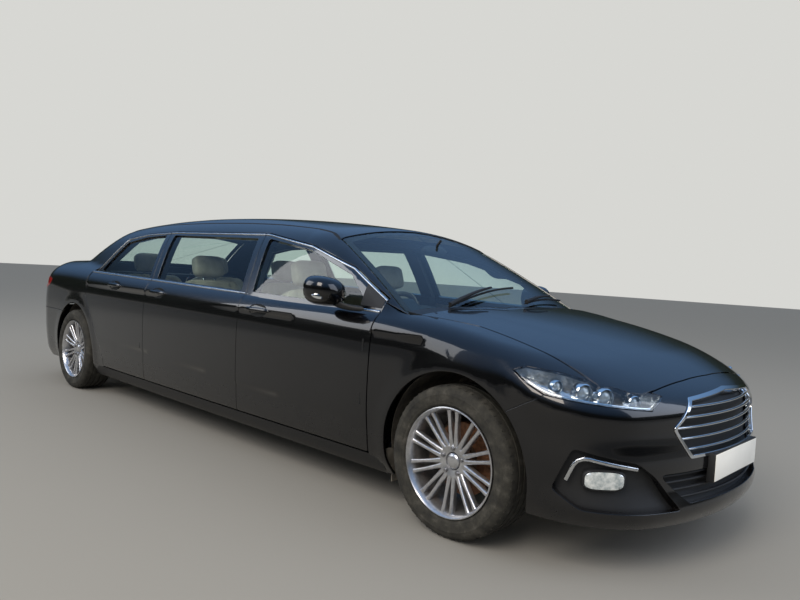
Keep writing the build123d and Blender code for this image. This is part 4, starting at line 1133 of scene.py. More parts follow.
def wing_outline():
    """A front wing's outline, with the side of the nose over the bumper."""
    return outline_of(
        whole, "fan",
        ("side", [(-505, 180), (-505, 985)]),
        ("side", [(-500, 985), (-410, 952)]),
        ("top", [(-345, 826), (-296, 806), (0, 727), (454, 729), (585, 727)]),
        ("space", grown(LAMP_TOP[4::-1], 4)),
        ("side", [(288, 779), (362, 733), (436, 700)]),
        ("side", [(430, 695), (286, 613)]),
        ("side", arch_run(0, 180, 613)[::-1]),
    )


def bonnet_outline():
    """The bonnet's outline in the top view."""
    half = chart_line(
        lower, "top",
        ("top", [(-221, 0), (-286, 640), (-296, 796)]),
        ("top", [(-286, 795), (0, 717), (454, 719), (585, 716)]),
        ("top", [(617, 668), (666, 622), (692, 575), (706, 480), (722, 250), (730, 0)]),
    )
    return halved("top", half)


def bonnet_bump(points):
    """The bonnet's two long creases, proud towards the middle."""
    f = (points[:, 0] - AXLE_X) / MM
    y = np.abs(points[:, 1])
    outer = np.interp(-f, [-655, -419, -180, 56, 345], [389, 408, 478, 541, 567]) * MM
    inner = np.interp(-f, [-692, -583, -380, -127, 300], [150, 170, 215, 285, 330]) * MM
    fade = np.clip((f + 330) / 150, 0, 1) * np.clip((735 - f) / 200, 0, 1)
    rise = 0.011 / (1 + np.exp(-(outer - y) / 0.016)) - 0.006 / (1 + np.exp(-(inner - y) / 0.022))
    return fade * rise


def side_outline():
    """The body side behind the doors, with the rail over them and both roof pillars."""
    edge = [(-500, 992), (-500, 1013)] + moved(RAIL[1:], 0, 4)
    edge += moved(REAR_EDGE[::-1], -4, 0) + [(-3564, 268)]
    lamp = [(109.5, 905), (116, 935), (125, 953), (138.7, 961)]
    under = [(138.7, 772), (121, 791), (113, 840)]
    return outline_of(
        whole, "fan",
        ("side", edge),
        ("side", [(-3564, 180), (-3764, 180)]),
        ("side", arch_run(REAR_AXLE, 646, 180)[::-1]),
        ("side", [(-4372, 646), (-4480, 646)]),
        ("tail", [(104, 646), (141, 646)]),
        ("back", [(612, 652), (622, 768)]),
        ("tail", under + [(110.5, 868)] + lamp),
        ("back", [(640, 968), (644, 1030)]),
        ("top", [(-5060, 646), (-4705, 661), (-4516, 664)]),
        ("top", [(-4514, 697), (-3866, 567)]),
        ("top", DITCH[::-1]),
        ("top", [(-1048, 664), (-345, 822)]),
    )


def door_outline(row, front, rear):
    """A door's lower panel in side view, in millimetres."""
    f, r, low = front - SHUT / 2, rear + SHUT / 2, SILL_TOP + SHUT / 2
    points = [(f, low), (f, belt_z(f) - 2)]
    if row == "rear":
        points += [(-3905, belt_z(-3905) - 2)] + moved(REAR_EDGE[:4][::-1], SHUT / 2, 0) + [(r, low)]
    else:
        points += [(r, belt_z(r) - 2), (r, low)]
    return points


def window_outline(row, front, rear):
    """A door window's outline in side view."""
    if row == "front":
        points = [(-600, belt_z(-600) + 14), (-800, 1116), (-1200, 1240)]
    else:
        points = [(front - 58, belt_z(front) + 14), (shut_x(front, 1310) - 58, rail_z(front) - 26)]
    if row == "rear":
        return points + [(-3270, 1302), (-3560, 1256), (-3835, belt_z(-3840) + 14)]
    return points + [(shut_x(rear, 1310) + 58, rail_z(rear) - 26), (rear + 58, belt_z(rear) + 14)]


def rail_run(low, high, edge):
    """The doors' top edge between two places, lowered by an edge."""
    return [(x, z - edge) for x, z in RAIL if low < x < high]


def frame_outline(row, front, rear):
    """A door's window frame in side view."""
    edge = SHUT / 2
    f, r = front - edge, rear + edge
    points = [(f, belt_z(f) - 14)]
    top_from = RAIL[0][0] - edge if row == "front" else shut_x(front, 1340) - edge
    if row != "front":
        points.append((f, BELT))
    points.append((top_from, rail_z(top_from) - edge))
    if row == "rear":
        points += rail_run(-3560, top_from, edge) + [
            (-3571, 1287), (-3918, 1005), (-3908, belt_z(-3905) - 14)]
    else:
        top_to = shut_x(rear, 1340) + edge
        points += rail_run(top_to, top_from, edge)
        points += [(top_to, rail_z(top_to) - edge), (r, BELT), (r, belt_z(r) - 14)]
    return points


def window_top(row, front, rear):
    """The bright line over a door's window."""
    edge = 9
    top_from = -503 if row == "front" else shut_x(front, 1335) - 5
    points = [(top_from, rail_z(top_from) - edge)]
    if row == "rear":
        return points + rail_run(-3560, top_from, edge) + [(-3568, 1281), (-3740, 1146), (-3908, 1003)]
    top_to = shut_x(rear, 1335) + 5
    return points + rail_run(top_to, top_from, edge) + [(top_to, rail_z(top_to) - edge)]


def door_depth(front):
    """How thick a door is, from its front edge back."""
    hinge = AXLE_X + (front - 45) * MM

    def depth(points):
        return 0.019 + 0.035 * np.clip((hinge + 0.004 - points[:, 0]) / 0.004, 0, 1)

    return depth


class Settings(bpy.types.PropertyGroup):
    """What a user may change before the pieces are made."""
    spacing: bpy.props.FloatProperty(
        name="Panel spacing", description="Distance between points of the painted panels",
        default=0.03, min=0.015, max=0.08, unit="LENGTH")
    spoke_pairs: bpy.props.IntProperty(
        name="Spoke pairs", description="Pairs of spokes in each road wheel", default=10, min=5, max=16)
    tread_blocks: bpy.props.IntProperty(
        name="Tread blocks", description="Shoulder lugs round each tyre", default=60, min=20, max=120)
    bars: bpy.props.IntProperty(
        name="Grille bars", description="Bright bars across the grille", default=5, min=1, max=9)
    paint_colour: bpy.props.FloatVectorProperty(
        name="Paint colour", description="Base colour of the body's paint",
        size=3, subtype="COLOR", min=0, max=1, default=hexa("#030305")[:3])
    glass_tint: bpy.props.FloatVectorProperty(
        name="Glass tint", description="Tint of the car's glass",
        size=3, subtype="COLOR", min=0, max=1, default=hexa("#eef5f2")[:3])


def settings():
    """The values that the panel shows."""
    return bpy.context.scene.limousine


class BodyPanels(bpy.types.Operator):
    """Makes the painted body: wings, sides, roof, bonnet and boot lid"""
    bl_idname = "limousine.body"
    bl_label = "Body panels"

    def execute(self, context):
        spacing = settings().spacing
        wing = shell_parts(whole, "fan", wing_outline(), spacing=spacing, thick=0.012)
        paint("front_wing_panels", both_sides(wing), "body", "front_wings")
        sides = shell_parts(whole, "fan", side_outline(), spacing=spacing, thick=0.014)
        half = [(-3850, 0), (-3860, 560)] + [(f, y - 5) for f, y in DITCH[::-1]] + [(-1052, 652), (-1092, 0)]
        roof = shell_parts(whole, "top", top_ring(half), spacing=spacing * 1.4, thick=0.014)
        paint("roof_and_sides", both_sides(sides) + [roof], "body", "roof", "rear_quarters")
        half = [(-4738, 0), (-4722, 330), (-4699, 656), (-4521, 656), (-4560, 330), (-4594, 0)]
        deck = shell_parts(whole, "top", top_ring(half), spacing=spacing, thick=0.01)
        paint("rear_deck", [deck], "body")
        bonnet = shell_parts(lower, "top", bonnet_outline(), spacing=spacing, thick=0.018, bump=bonnet_bump)
        paint("bonnet_panel", [bonnet], "bonnet", "bonnet")
        half = chart_line(
            lower, "lid",
            ("top", [(-4744, 0), (-4728, 330), (-4707, 649), (-5056, 636)]),
            ("back", [(634, 1030), (602, 652), (0, 652)]),
        )
        lid = shell_parts(lower, "lid", halved("lid", half, 0.003), spacing=spacing, thick=0.016)
        paint("boot_lid_panel", [lid], "boot_lid", "boot_lid")
        strip(
            "roof_ditch_strips", whole, "top", DITCH, 0.022, 0.003, "rubber", "body", inset=0.003
        )
        return {"FINISHED"}


class Doors(bpy.types.Operator):
    """Makes the six doors with their frames, glass, handles and bright mouldings"""
    bl_idname = "limousine.doors"
    bl_label = "Doors"

    def execute(self, context):
        spacing = settings().spacing
        for row, front, rear in DOOR_ROWS:
            line = softened(placed(door_outline(row, front, rear)), 0.007)
            panel = shell_parts(lower, "side", line, spacing=spacing, thick=door_depth(front))
            hole = softened(placed(window_outline(row, front, rear)), 0.016)
            line = softened(placed(frame_outline(row, front, rear)), 0.008)
            frame = shell_parts(upper, "side", line, holes=[hole], spacing=spacing, thick=0.026, hem=0.0015)
            line = widened(hole, 0.012)
            glass = shell_parts(upper, "side", line, spacing=0.06, thick=0.004, inset=0.011, hem=0.001)
            for side, turn in (("left", lambda p: p), ("right", mirrored)):
                body = f"{row}_door_{side}"
                paint(f"{body}_panel", [turn(panel)], body, body, back="trim_cloth")
                paint(f"{body}_frame", [turn(frame)], body, front="pillar", back="rubber", slot="dark_trim")
                paint(
                    f"{body}_glass", [turn(glass)], body, f"{row}_window_{side}", front="glass", slot="glass")
                made = self.mouldings(row, front, rear, body) + self.handle(row, rear, body)
                if side == "right":
                    for thing in made:
                        flip(thing)
        return {"FINISHED"}

    def mouldings(self, row, front, rear, body):
        """The bright strips under and over a door's window."""
        belt = [(front - 7, belt_z(front) + 2), (rear + 7, belt_z(rear) + 2)]
        if row == "rear":
            belt[1] = (-3898, belt_z(-3898) + 2)
        made = []
        for name, surface, line, wide, tall, inset in (
            ("belt", lower, belt, 0.018, 0.008, 0.002),
            ("top", upper, window_top(row, front, rear), 0.012, 0.007, 0.001),
        ):
            part = f"{body}_{name}_strip"
            made.append(
                strip(part, surface, "side", line, wide, tall, "satin_metal", body, inset, 1)
            )
        return made

    def handle(self, row, rear, body):
        """A bowed bar handle over its recessed cup."""
        centre_f, height = rear + 195, HANDLE_UP[row]
        spine = [(centre_f + f, height + 2) for f in np.linspace(-120, 120, 25)]
        on = run_points(lower, "side", spine, 1)
        up = normals(lower, on)
        along = np.gradient(on, axis=0)
        along /= np.linalg.norm(along, axis=1)[:, None]
        across = np.cross(up, along)
        sections = []
        for i, s in enumerate(np.linspace(-1, 1, len(on))):
            end = math.sqrt(max(0.02, 1 - abs(s) ** 5))
            rise = 0.019 - 0.012 * abs(s) ** 4
            sections.append([
                on[i] + across[i] * (0.0135 * end * boxy(math.cos(a), 0.75))
                + up[i] * (rise - 0.006 + 0.0075 * end * boxy(math.sin(a), 0.75))
                for a in turns(16)
            ])
        bar = loft(f"{body}_handle", sections, "paint", body, angle=60)
        rings = []
        for scale, drop in ((1.0, 0.0012), (0.94, -0.002), (0.8, -0.002)):
            flat = [(centre_f + 88 * scale * boxy(math.cos(a), 0.8), height + 36 * scale * math.sin(a))
                    for a in turns(48)]
            at = lift(lower, "side", placed(flat))
            rings.append(at + normals(lower, at) * drop)
        return [bar, loft(f"{body}_handle_cup", rings, "lamp_dark", body, angle=60)]


def flip(thing):
    """Mirrors a left-hand piece to the right."""
    mesh = thing.data
    mesh.transform(Matrix.Scale(-1, 4, (0, 1, 0)))
    mesh.flip_normals()
    mesh.update()


SCREENS = [
    [(-1086, 0), (-1074, 360), (-1045, 652), (-352, 806), (-262, 440), (-212, 0)],
    [(-3856, 0), (-3866, 556), (-4506, 684), (-4556, 380), (-4580, 0)],
]


class Glass(bpy.types.Operator):
    """Makes the windscreen and rear window with their dark borders"""
    bl_idname = "limousine.glass"
    bl_label = "Screens"

    def execute(self, context):
        parts, borders = [], []
        for half in SCREENS:
            line = top_ring(half, 0.02)
            parts.append(shell_parts(upper, "top", line, spacing=0.06, thick=0.0045, inset=0.005, hem=0.001))
            border = shell_parts(upper, "top", line, [widened(line, -0.045)], 0.05, 0.002, 0.0105, 0.0005)
            borders.append(border)
        paint("screen_glass", parts, "body", "screens", front="glass", slot="glass")
        paint("screen_borders", borders, "body", front="rubber", slot="dark_trim")
        self.wipers()
        self.inner_mirror()
        return {"FINISHED"}

    def wipers(self):
        """Two arms with their blades along the foot of the windscreen."""
        for name, start, end in (
                ("wiper_driver", (-330, -560), (-420, 110)), ("wiper_passenger", (-275, 30), (-420, 640))):
            line = dense(placed([start, end]), 0.03)
            on = lift(upper, "top", line)
            up = normals(upper, on)
            tube(f"{name}_blade", on + up * 0.016, [0.006] * len(on), "rubber", "body")
            share = np.linspace(0, 1, len(on))[:, None]
            arm = on + up * (0.03 + 0.012 * np.sin(share * math.pi))
            arm = arm[:max(3, int(len(arm) * 0.62))]
            tube(f"{name}_arm", arm, np.linspace(0.011, 0.006, len(arm)), "trim", "body")

    def inner_mirror(self):
        """The mirror inside the windscreen, on its stalk."""
        centre = np.array([AXLE_X - 0.93, 0, 1.285])
        rows = []
        for s in np.linspace(-1, 1, 9):
            w = 0.11 * s
            h = 0.03 * math.sqrt(max(0.05, 1 - abs(s) ** 4))
            rows.append([centre + (0.016 * math.cos(a), w, h * math.sin(a)) for a in turns(16)])
        loft("inner_mirror", rows, "trim", "body", angle=60)
        tube(
            "inner_mirror_stalk", [centre + (0.01, 0, 0.02), centre + (0.05, 0, 0.065)], [0.008, 0.008],
            "trim", "body")


def tube(name, path, radii, finish, body, sides=1, count=10):
    """A round bar along points, with a radius at each."""
    path = np.asarray(path, float)
    along = np.gradient(path, axis=0)
    along /= np.linalg.norm(along, axis=1)[:, None]
    rings = []
    for p, way, r in zip(path, along, radii):
        u = Vector(way).orthogonal().normalized() if not rings else u - Vector(way) * u.dot(Vector(way))
        u = u.normalized()
        v = Vector(way).cross(u)
        rings.append([Vector(p) + (u * math.cos(a) + v * math.sin(a)) * r for a in turns(count)])
    return loft(name, rings, finish, body, sides, angle=60)


GRILLE = [(-476, 585), (-346, 691), (0, 712), (346, 691), (476, 585), (385, 470), (-385, 470)]
INTAKE = [(-570, 414), (570, 414), (412, 290), (-412, 290)]
FOG = [
    (557, 848, 513), (741, 668, 466), (788, 590, 405), (838, 462, 268), (595, 822, 276), (486, 872, 344),
    (528, 862, 443)]


FOG_STRIP = [(743, 661, 440), (598, 824, 478), (572, 842, 466), (541, 857, 384)]
# Each headlamp's projectors: forward, left and up in millimetres, radius in metres
PROJECTORS = [(622, 728, 722, 0.040), (560, 790, 735, 0.040), (694, 622, 706, 0.030), (468, 846, 752, 0.026)]


def bumper_outline():
    """The front bumper's left half in the nose view, mirrored."""
    half = chart_line(
        lower, "nose",
        ("top", [(737, 0), (729, 250), (713, 482), (703, 574)]),
        ("space", [(713, 590, 734), (759, 500, 708)]),
        ("space", grown(LAMP_BOTTOM, -5)[1:5]),
        ("side", [(438, 693), (284, 607)]),
        ("side", arch_run(0, 180, 607)[::-1][:1]),
        ("side", on_arch(0, np.linspace(math.asin(273 / ARCH), math.asin(-119 / ARCH), 30))),
        ("nose", [(72, 214), (30, 207), (0, 207)]),
    )
    return halved("nose", half)


class FrontEnd(bpy.types.Operator):
    """Makes the front bumper, grille, intakes, lamps and number plate"""
    bl_idname = "limousine.front"
    bl_label = "Front end"

    def execute(self, context):
        spacing = settings().spacing * 0.8

        def hole(points, by=0.0):
            line = softened([(a * MM, b * MM) for a, b in points], 0.016)
            return seen("nose", lift(lower, "front", widened(line, by)))

        def backing(line):
            return shell_parts(lower, "nose", line, spacing=0.04, thick=0.003, inset=0.036)

        fog = self.eased(seen("nose", dense(in_space(FOG + FOG[:1]), 0.012)[:-1]))
        holes = [hole(GRILLE), hole(INTAKE), fog, fog[::-1] * [-1, 1]]
        part = shell_parts(lower, "nose", bumper_outline(), holes=holes, spacing=spacing, thick=0.034)
        paint("front_bumper_panel", [part], "body", "front_bumper")
        parts = [backing(hole(line, 0.012)) for line in (GRILLE, INTAKE)]
        paint("grille_mesh", parts, "body", "grille", front="mesh_black", slot="dark_trim")
        pocket = backing(scaled(fog, 1.03))
        paint("fog_pockets", both_sides(pocket), "body", front="trim", slot="dark_trim")
        outer, inner = hole(GRILLE, 0.006), hole(GRILLE, -0.005)
        part = shell_parts(lower, "nose", outer, [inner], 0.02, 0.03, -0.005, 0.003)
        paint("grille_surround", [part], "body", front="chrome", slot="chrome")
        self.bars()
        self.fog_lamps()
        self.plate()
        self.headlamps()
        return {"FINISHED"}

    def eased(self, line):
        """A ring of points with its corners softened by averaging."""
        for _ in range(3):
            line = (np.roll(line, 1, 0) + 2 * line + np.roll(line, -1, 0)) / 4
        return line

    def on_nose(self, points, rounds):
        """Places on the nose along a run, eased between its ends a number of times."""
        on = lift(lower, "nose", seen("nose", dense(in_space(points), 0.02)))
        for _ in range(rounds):
            on[1:-1] = (on[:-2] + 2 * on[1:-1] + on[2:]) / 4
        return on

    def bars(self):
        """The grille's bright bars and the intake's dark ones."""
        count = settings().bars
        for i in range(count):
            z = 500 + 168 * i / max(1, count - 1)
            half = np.interp(z, [470, 585, 691, 712], [385, 476, 346, 60]) - 6
            line = [(-half, z), (half, z)]
            strip(f"grille_bar_{i}", lower, "front", line, 0.012, 0.012, "chrome", "body", 0.016, 1)
        for i, z in enumerate((318, 346, 374, 400)):
            half = np.interp(z, [290, 414], [412, 570]) - 8
            line = [(-half, z), (half, z)]
            strip(
                f"intake_bar_{i}", lower, "front", line, 0.010, 0.010, "trim", "body", 0.022, 1)

    def fog_lamps(self):
        """Each pocket's bright C-shaped strip and its rounded lamp."""
        on = self.on_nose(FOG_STRIP, 1)
        strip("fog_strips", lower, "nose", on, 0.017, 0.008, "satin_metal", "body", inset=0.016)
        centre = lift(lower, "nose", seen("nose", np.array(in_space([(660, 766, 392)]))))[0]
        out = normals(lower, centre[None])[0]
        side = np.cross((0, 0, 1), out)
        side /= np.linalg.norm(side)
        up = np.cross(out, side)
        for name, wide, tall, front, back, finish, slot in (
            ("fog_lamp_bezels", 0.084, 0.042, -0.016, -0.034, "trim", "dark_trim"),
            ("fog_lamp_lenses", 0.077, 0.035, -0.013, -0.02, "fog_lens", "lamp_lens"),
        ):
            rings = []
            for depth, scale in ((back, 1.0), (front - 0.004, 1.0), (front, 0.95), (front + 0.002, 0.6)):
                rings.append([
                    centre + out * depth + side * (wide * scale * boxy(math.cos(a), 0.55))
                    + up * (tall * scale * boxy(math.sin(a), 0.55)) for a in turns(40)
                ])
            loft(name, rings, finish, "body", 2, angle=50)

    def plate(self):
        """A blank white number plate in its dark holder."""
        half_w, half_h = 0.26, 0.0555
        top = lift(lower, "front", [(0, 0.478)])[0]
        low = lift(lower, "front", [(0, 0.349)])[0]
        centre = (top + low) / 2
        x = max(top[0], low[0]) + 0.004
        for name, grow, near, far, finish, slot in (
            ("plate_holder", 0.005, 0.0, -0.03, "trim", "dark_trim"),
            ("number_plate", 0.0, 0.004, 0.0005, "plate", "trim"),
        ):
            low_c = (x + far - AXLE_X) / MM, -(half_w + grow) / MM, (centre[2] - half_h - grow) / MM
            high_c = (x + near - AXLE_X) / MM, (half_w + grow) / MM, (centre[2] + half_h + grow) / MM
            block(name, low_c, high_c, finish, "body", bevel=0.0015)

    def headlamps(self):
        """Clear covers over dark bowls with projectors and a bright lower edge."""
        line = outline_of(lower, "nose", ("space", LAMP_TOP), ("space", LAMP_BOTTOM))
        cover = shell_parts(lower, "nose", line, spacing=0.03, thick=0.003, inset=0.0005, hem=0.0015)
        paint(
            "headlamp_covers", both_sides(cover), "body", "front_lamps", front="lamp_glass", slot="lamp_lens")
        bowl = shell_parts(lower, "nose", scaled(line, 0.995), spacing=0.03, thick=0.003, inset=0.055)
        walls = self.walls(scaled(line, 0.99), 0.002, 0.056)
        paint(
            "headlamp_bowls", both_sides(bowl) + both_sides(walls), "body", front="reflector",
            back="lamp_dark", slot="chrome")
        on = self.on_nose(grown(LAMP_BOTTOM[1:], 9), 3)
        strip(
            "headlamp_bright_edges", lower, "nose", on, 0.013, 0.02, "bright", "body", inset=0.028)
        for i, (*at, radius) in enumerate(PROJECTORS):
            place = lift(lower, "nose", seen("nose", np.array(in_space([at]))))[0]
            centre = place - normals(lower, place[None])[0] * 0.03
            aim = (0.9, 0.42, 0.0)
            ring = [(1, -0.02), (1, 0.012), (0.9, 0.016), (0.86, 0.01), (0.86, -0.02)]
            ring = [(radius * share, w) for share, w in ring]
            turned(f"headlamp_rings_{i}", ring, centre, aim, "bright", "body", 40, sides=2)
            dome = [(0.4, 0.0135), (0.7, 0.006), (0.85, -0.004), (0.85, -0.012)]
            dome = [(0.0005, 0.016)] + [(radius * share, w) for share, w in dome] + [(0.0005, -0.012)]
            turned(f"headlamp_projectors_{i}", dome, centre, aim, "projector", "body", 40,
                   sides=2, close=False)

    def walls(self, line, near, far):
        """The side walls of a lamp bowl, from just under the cover to its floor."""
        on = lift(lower, "nose", line)
        up = normals(lower, on)
        count = len(on)
        verts = [*(on - up * near), *(on - up * far)]
        inward = np.cross(np.roll(on, -1, 0) - np.roll(on, 1, 0), up)
        inward /= np.linalg.norm(inward, axis=1)[:, None]
        if ((on - on.mean(0)) * inward).sum() > 0:
            inward = -inward
        faces, corner = [], []
        for i in range(count):
            j = (i + 1) % count
            faces.append((i, j, j + count, i + count))
            corner += [inward[i], inward[j], inward[j], inward[i]]
        return np.array(verts), faces, [0] * len(faces), corner


class Tail(bpy.types.Operator):
    """Makes the rear bumper, tail lamps and rear number plate"""
    bl_idname = "limousine.tail"
    bl_label = "Tail"

    def execute(self, context):
        spacing = settings().spacing
        arch = [(REAR_AXLE - math.sqrt(ARCH**2 - (z - AXLE_UP) ** 2), z) for z in np.linspace(638, 212, 40)]
        half = chart_line(
            lower, "tail",
            ("tail", [(180, 640), (141, 640), (104, 640)]),
            ("side", [(-4480, 640), (-4377, 640)]),
            ("side", arch),
            ("tail", [(106, 206), (140, 206), (180, 206)]),
        )
        part = shell_parts(lower, "tail", halved("tail", half), spacing=spacing, thick=0.02)
        paint("rear_bumper_panel", [part], "body", "rear_bumper")
        runs = outline_of(
            lower, "tail",
            ("tail", [(138.4, 958), (125, 950), (116, 932), (110, 905)]),
            ("tail", [(110.9, 868), (113.2, 843), (121, 794), (138.4, 775)]),
            ("back", [(626, 778), (638, 956)]),
        )
        lens = shell_parts(lower, "tail", runs, spacing=0.025, thick=0.02)
        paint(
            "tail_lamp_lenses", both_sides(lens), "body", "tail_lamps", front="red_lens", back="lamp_dark",
            slot="red_lens")
        for i, z in enumerate((905, 835)):
            line = [(137.5, z), (118, z)]
            strip(f"tail_lamp_bands_{i}", lower, "tail", line, 0.02, 0.0012, "red_band", "body")
        line = [(-300, 838), (300, 838)]
        strip("boot_lid_strip", lower, "back", line, 0.022, 0.014, "chrome", "boot_lid", 0.002, 1)
        centre = lift(lower, "back", [(0, 0.76)])[0]
        f = (centre[0] - AXLE_X) / MM
        block(
            "rear_number_plate", (f - 4, -260, 704), (f + 2, 260, 815), "plate", "boot_lid",
            bevel=0.0015)
        line = [(152, 420), (140, 424)]
        strip("bumper_reflectors", lower, "tail", line, 0.03, 0.003, "red_band", "body")
        return {"FINISHED"}


BOLT_CIRCLE = 0.056
LUG_START = -0.0055
# A spoke's sections: distance from the hub, half width, front and back along the axle, offset
SPOKE_ROWS = [
    (0.060, 0.0125, 0.072, 0.040, 0.011), (0.090, 0.0105, 0.077, 0.045, 0.013),
    (0.140, 0.0085, 0.083, 0.055, 0.0165), (0.190, 0.0085, 0.088, 0.062, 0.020),
    (0.216, 0.010, 0.092, 0.066, 0.0215), (0.226, 0.013, 0.094, 0.064, 0.022),
]


def spoke_pair():
    """One pair of spokes about the hub, outwards along Y, with the wheel's axis through the origin."""
    verts, faces = [], []
    for lean in (-1, 1):
        rows = []
        for r, half, front, back, off in SPOKE_ROWS:
            x0 = lean * off
            rows.append([(x0 - half, back, r), (x0 - half, front - 0.005, r), (x0 - half * 0.55, front, r),
                         (x0 + half * 0.55, front, r), (x0 + half, front - 0.005, r), (x0 + half, back, r)])
        start = len(verts)
        for row in rows:
            verts += row
        for j in range(len(rows) - 1):
            for i in range(6):
                k = (i + 1) % 6
                faces.append(
                    (start + j * 6 + i, start + j * 6 + k, start + (j + 1) * 6 + k, start + (j + 1) * 6 + i)
                )
    return verts, faces


class Wheels(bpy.types.Operator):
    """Makes the road wheels, their caps and bolts, brake discs and tyres"""
    bl_idname = "limousine.wheels"
    bl_label = "Wheels and tyres"

    def execute(self, context):
        pairs, blocks = settings().spoke_pairs, settings().tread_blocks
        for end in ("front", "rear"):
            for side in ("left", "right"):
                corner, out = f"{end}_{side}", 1 if side == "left" else -1
                place = middle_of(f"tyre_{corner}")
                self.wheel(corner, place, out, pairs)
                self.tyre(corner, place, out, blocks)
        return {"FINISHED"}

    def wheel(self, corner, place, out, pairs):
        """A spoked wheel with its cap, bolts and brake disc, on the side that out points to."""
        body = f"wheel_{corner}"
        way = Vector((0, out, 0))
        rim = [
            (0.225, -0.10), (0.236, -0.112), (0.238, -0.112), (0.238, -0.100), (0.228, -0.094),
            (0.222, -0.06), (0.222, 0.055), (0.228, 0.096), (0.238, 0.101), (0.241, 0.106), (0.2405, 0.1105),
            (0.236, 0.112), (0.231, 0.107), (0.224, 0.094), (0.2165, 0.070), (0.214, 0.03), (0.214, -0.06),
            (0.219, -0.10)]
        thing = turned(f"{body}_rim", rim, place, way, "alloy", body, 96, angle=40)
        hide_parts(f"wheel_{corner}")
        hub = [
            (0.0005, 0.052), (0.034, 0.052), (0.036, 0.054), (0.040, 0.066), (0.066, 0.073), (0.074, 0.070),
            (0.078, 0.058), (0.078, 0.03), (0.0005, 0.03)]
        turned(f"{body}_hub", hub, place, way, "alloy", body, 64, close=False)
        cap = [
            (0.0005, 0.0745), (0.018, 0.074), (0.029, 0.071), (0.0335, 0.066), (0.0345, 0.052),
            (0.0005, 0.052)]
        turned(f"{body}_cap", cap, place, way, "alloy", body, 48, close=False)
        verts, faces = spoke_pair()
        verts = [(x, y * out, z) for x, y, z in verts]
        spokes = plain_mesh(f"{body}_spokes", verts, faces, "alloy", body, bevel=0.0015)
        around(spokes, pairs, place, "Spokes around the hub")
        around(self.bolt(body, out), 5, place, "Bolts around the hub")
        disc = [
            (0.07, -0.005), (0.160, -0.005), (0.1615, -0.007), (0.1615, -0.033), (0.160, -0.035),
            (0.07, -0.035)]
        turned(f"{body}_disc", disc, place, way, "disc", body, 80, angle=30)
        bell = [
            (0.0005, 0.03), (0.070, 0.03), (0.078, 0.024), (0.080, -0.005), (0.07, -0.02), (0.0005, -0.02)]
        turned(f"{body}_disc_bell", bell, place, way, "iron", body, 64, close=False)

    def bolt(self, body, out):
        """One wheel bolt with its flange, above the hub."""
        profile = [
            (0.0125, 0.056), (0.0125, 0.070), (0.0085, 0.0705), (0.0085, 0.078), (0.007, 0.0795),
            (0.002, 0.0795)]
        rings = [[Vector((r * math.cos(a), w * out, BOLT_CIRCLE + r * math.sin(a))) for a in turns(12)]
                 for r, w in profile]
        return loft(f"{body}_bolts", rings, "steel_bolt", body, angle=30)

    def tyre(self, corner, place, out, blocks):
        """A tyre with four grooves round its tread, raised sidewall rings and cut shoulders."""
        body = f"wheel_{corner}"
        half, r = HALF_TYRE, TYRE_RADIUS
        side = [
            (0.2395, half - 0.018), (0.246, half - 0.013), (0.250, half - 0.007), (0.2555, half - 0.004),
            (0.262, half - 0.0035), (0.263, half - 0.0022), (0.266, half - 0.0022), (0.267, half - 0.0015),
            (0.284, half), (0.291, half - 0.0002), (0.292, half + 0.0004), (0.2945, half + 0.0004),
            (0.2955, half - 0.0008), (0.306, half - 0.003), (0.316, half - 0.008), (0.3235, half - 0.0145),
            (0.328, half - 0.022)]
        side = [(a, min(b, half)) for a, b in side]
        tread = [(r - 0.0026, half - 0.032), (r - 0.0012, half - 0.046)]
        for middle in (0.056, 0.019):
            tread += [
                (r - 0.0006 * (middle / 0.056), middle + 0.0052), (r - 0.0070, middle + 0.0040),
                (r - 0.0070, middle - 0.0040), (r, middle - 0.0052)]
        outer = side + tread
        profile = outer + [(a, -b) for a, b in reversed(outer)]
        inner = [
            (0.2395, -(half - 0.03)), (0.285, -(half - 0.018)), (0.318, -(half - 0.045)),
            (0.318, half - 0.045), (0.285, half - 0.018), (0.2395, half - 0.03)]
        thing = turned(
            f"{body}_tyre", profile + inner, place, (0, out, 0), "tyre", body, 120, angle=28)
        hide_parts(f"tyre_{corner}")
        verts, faces = [], []
        for lean in (-1, 1):
            low, high = lean * (half - 0.020), lean * (half - 0.041)
            start, x = len(verts), LUG_START
            foot = [(x, low), (x + 0.0085, low), (x + 0.0125, high), (x + 0.004, high)]
            for outer_drop, inner_drop in ((0.0075, 0.0022), (0.0035, 0.0006)):
                drops = (outer_drop, outer_drop, inner_drop, inner_drop)
                verts += [(a, b, r - drop) for (a, b), drop in zip(foot, drops)]
            sides = ((0, 1, 2, 3), (7, 6, 5, 4), (0, 4, 5, 1), (1, 5, 6, 2), (2, 6, 7, 3), (3, 7, 4, 0))
            faces += [tuple(start + i for i in f) for f in sides]
        lugs = plain_mesh(f"{body}_tyre_lugs", verts, faces, "tyre", body)
        around(lugs, blocks, place, "Shoulder lugs round the tyre")


# The mirror housing's middle, to the left and up, and its sections: forward, scale
MIRROR_Y, MIRROR_Z = 0.960, 1.022
MIRROR_HOUSING = [
    (-846, 0.93), (-852, 0.97), (-846, 1.0), (-815, 1.0), (-780, 0.97), (-750, 0.88), (-730, 0.74),
    (-717, 0.53), (-710, 0.27), (-708, 0.05)]
MIRROR_GLASS = [(-853, 0.93), (-855, 0.91), (-856, 0.6), (-856.5, 0.02)]


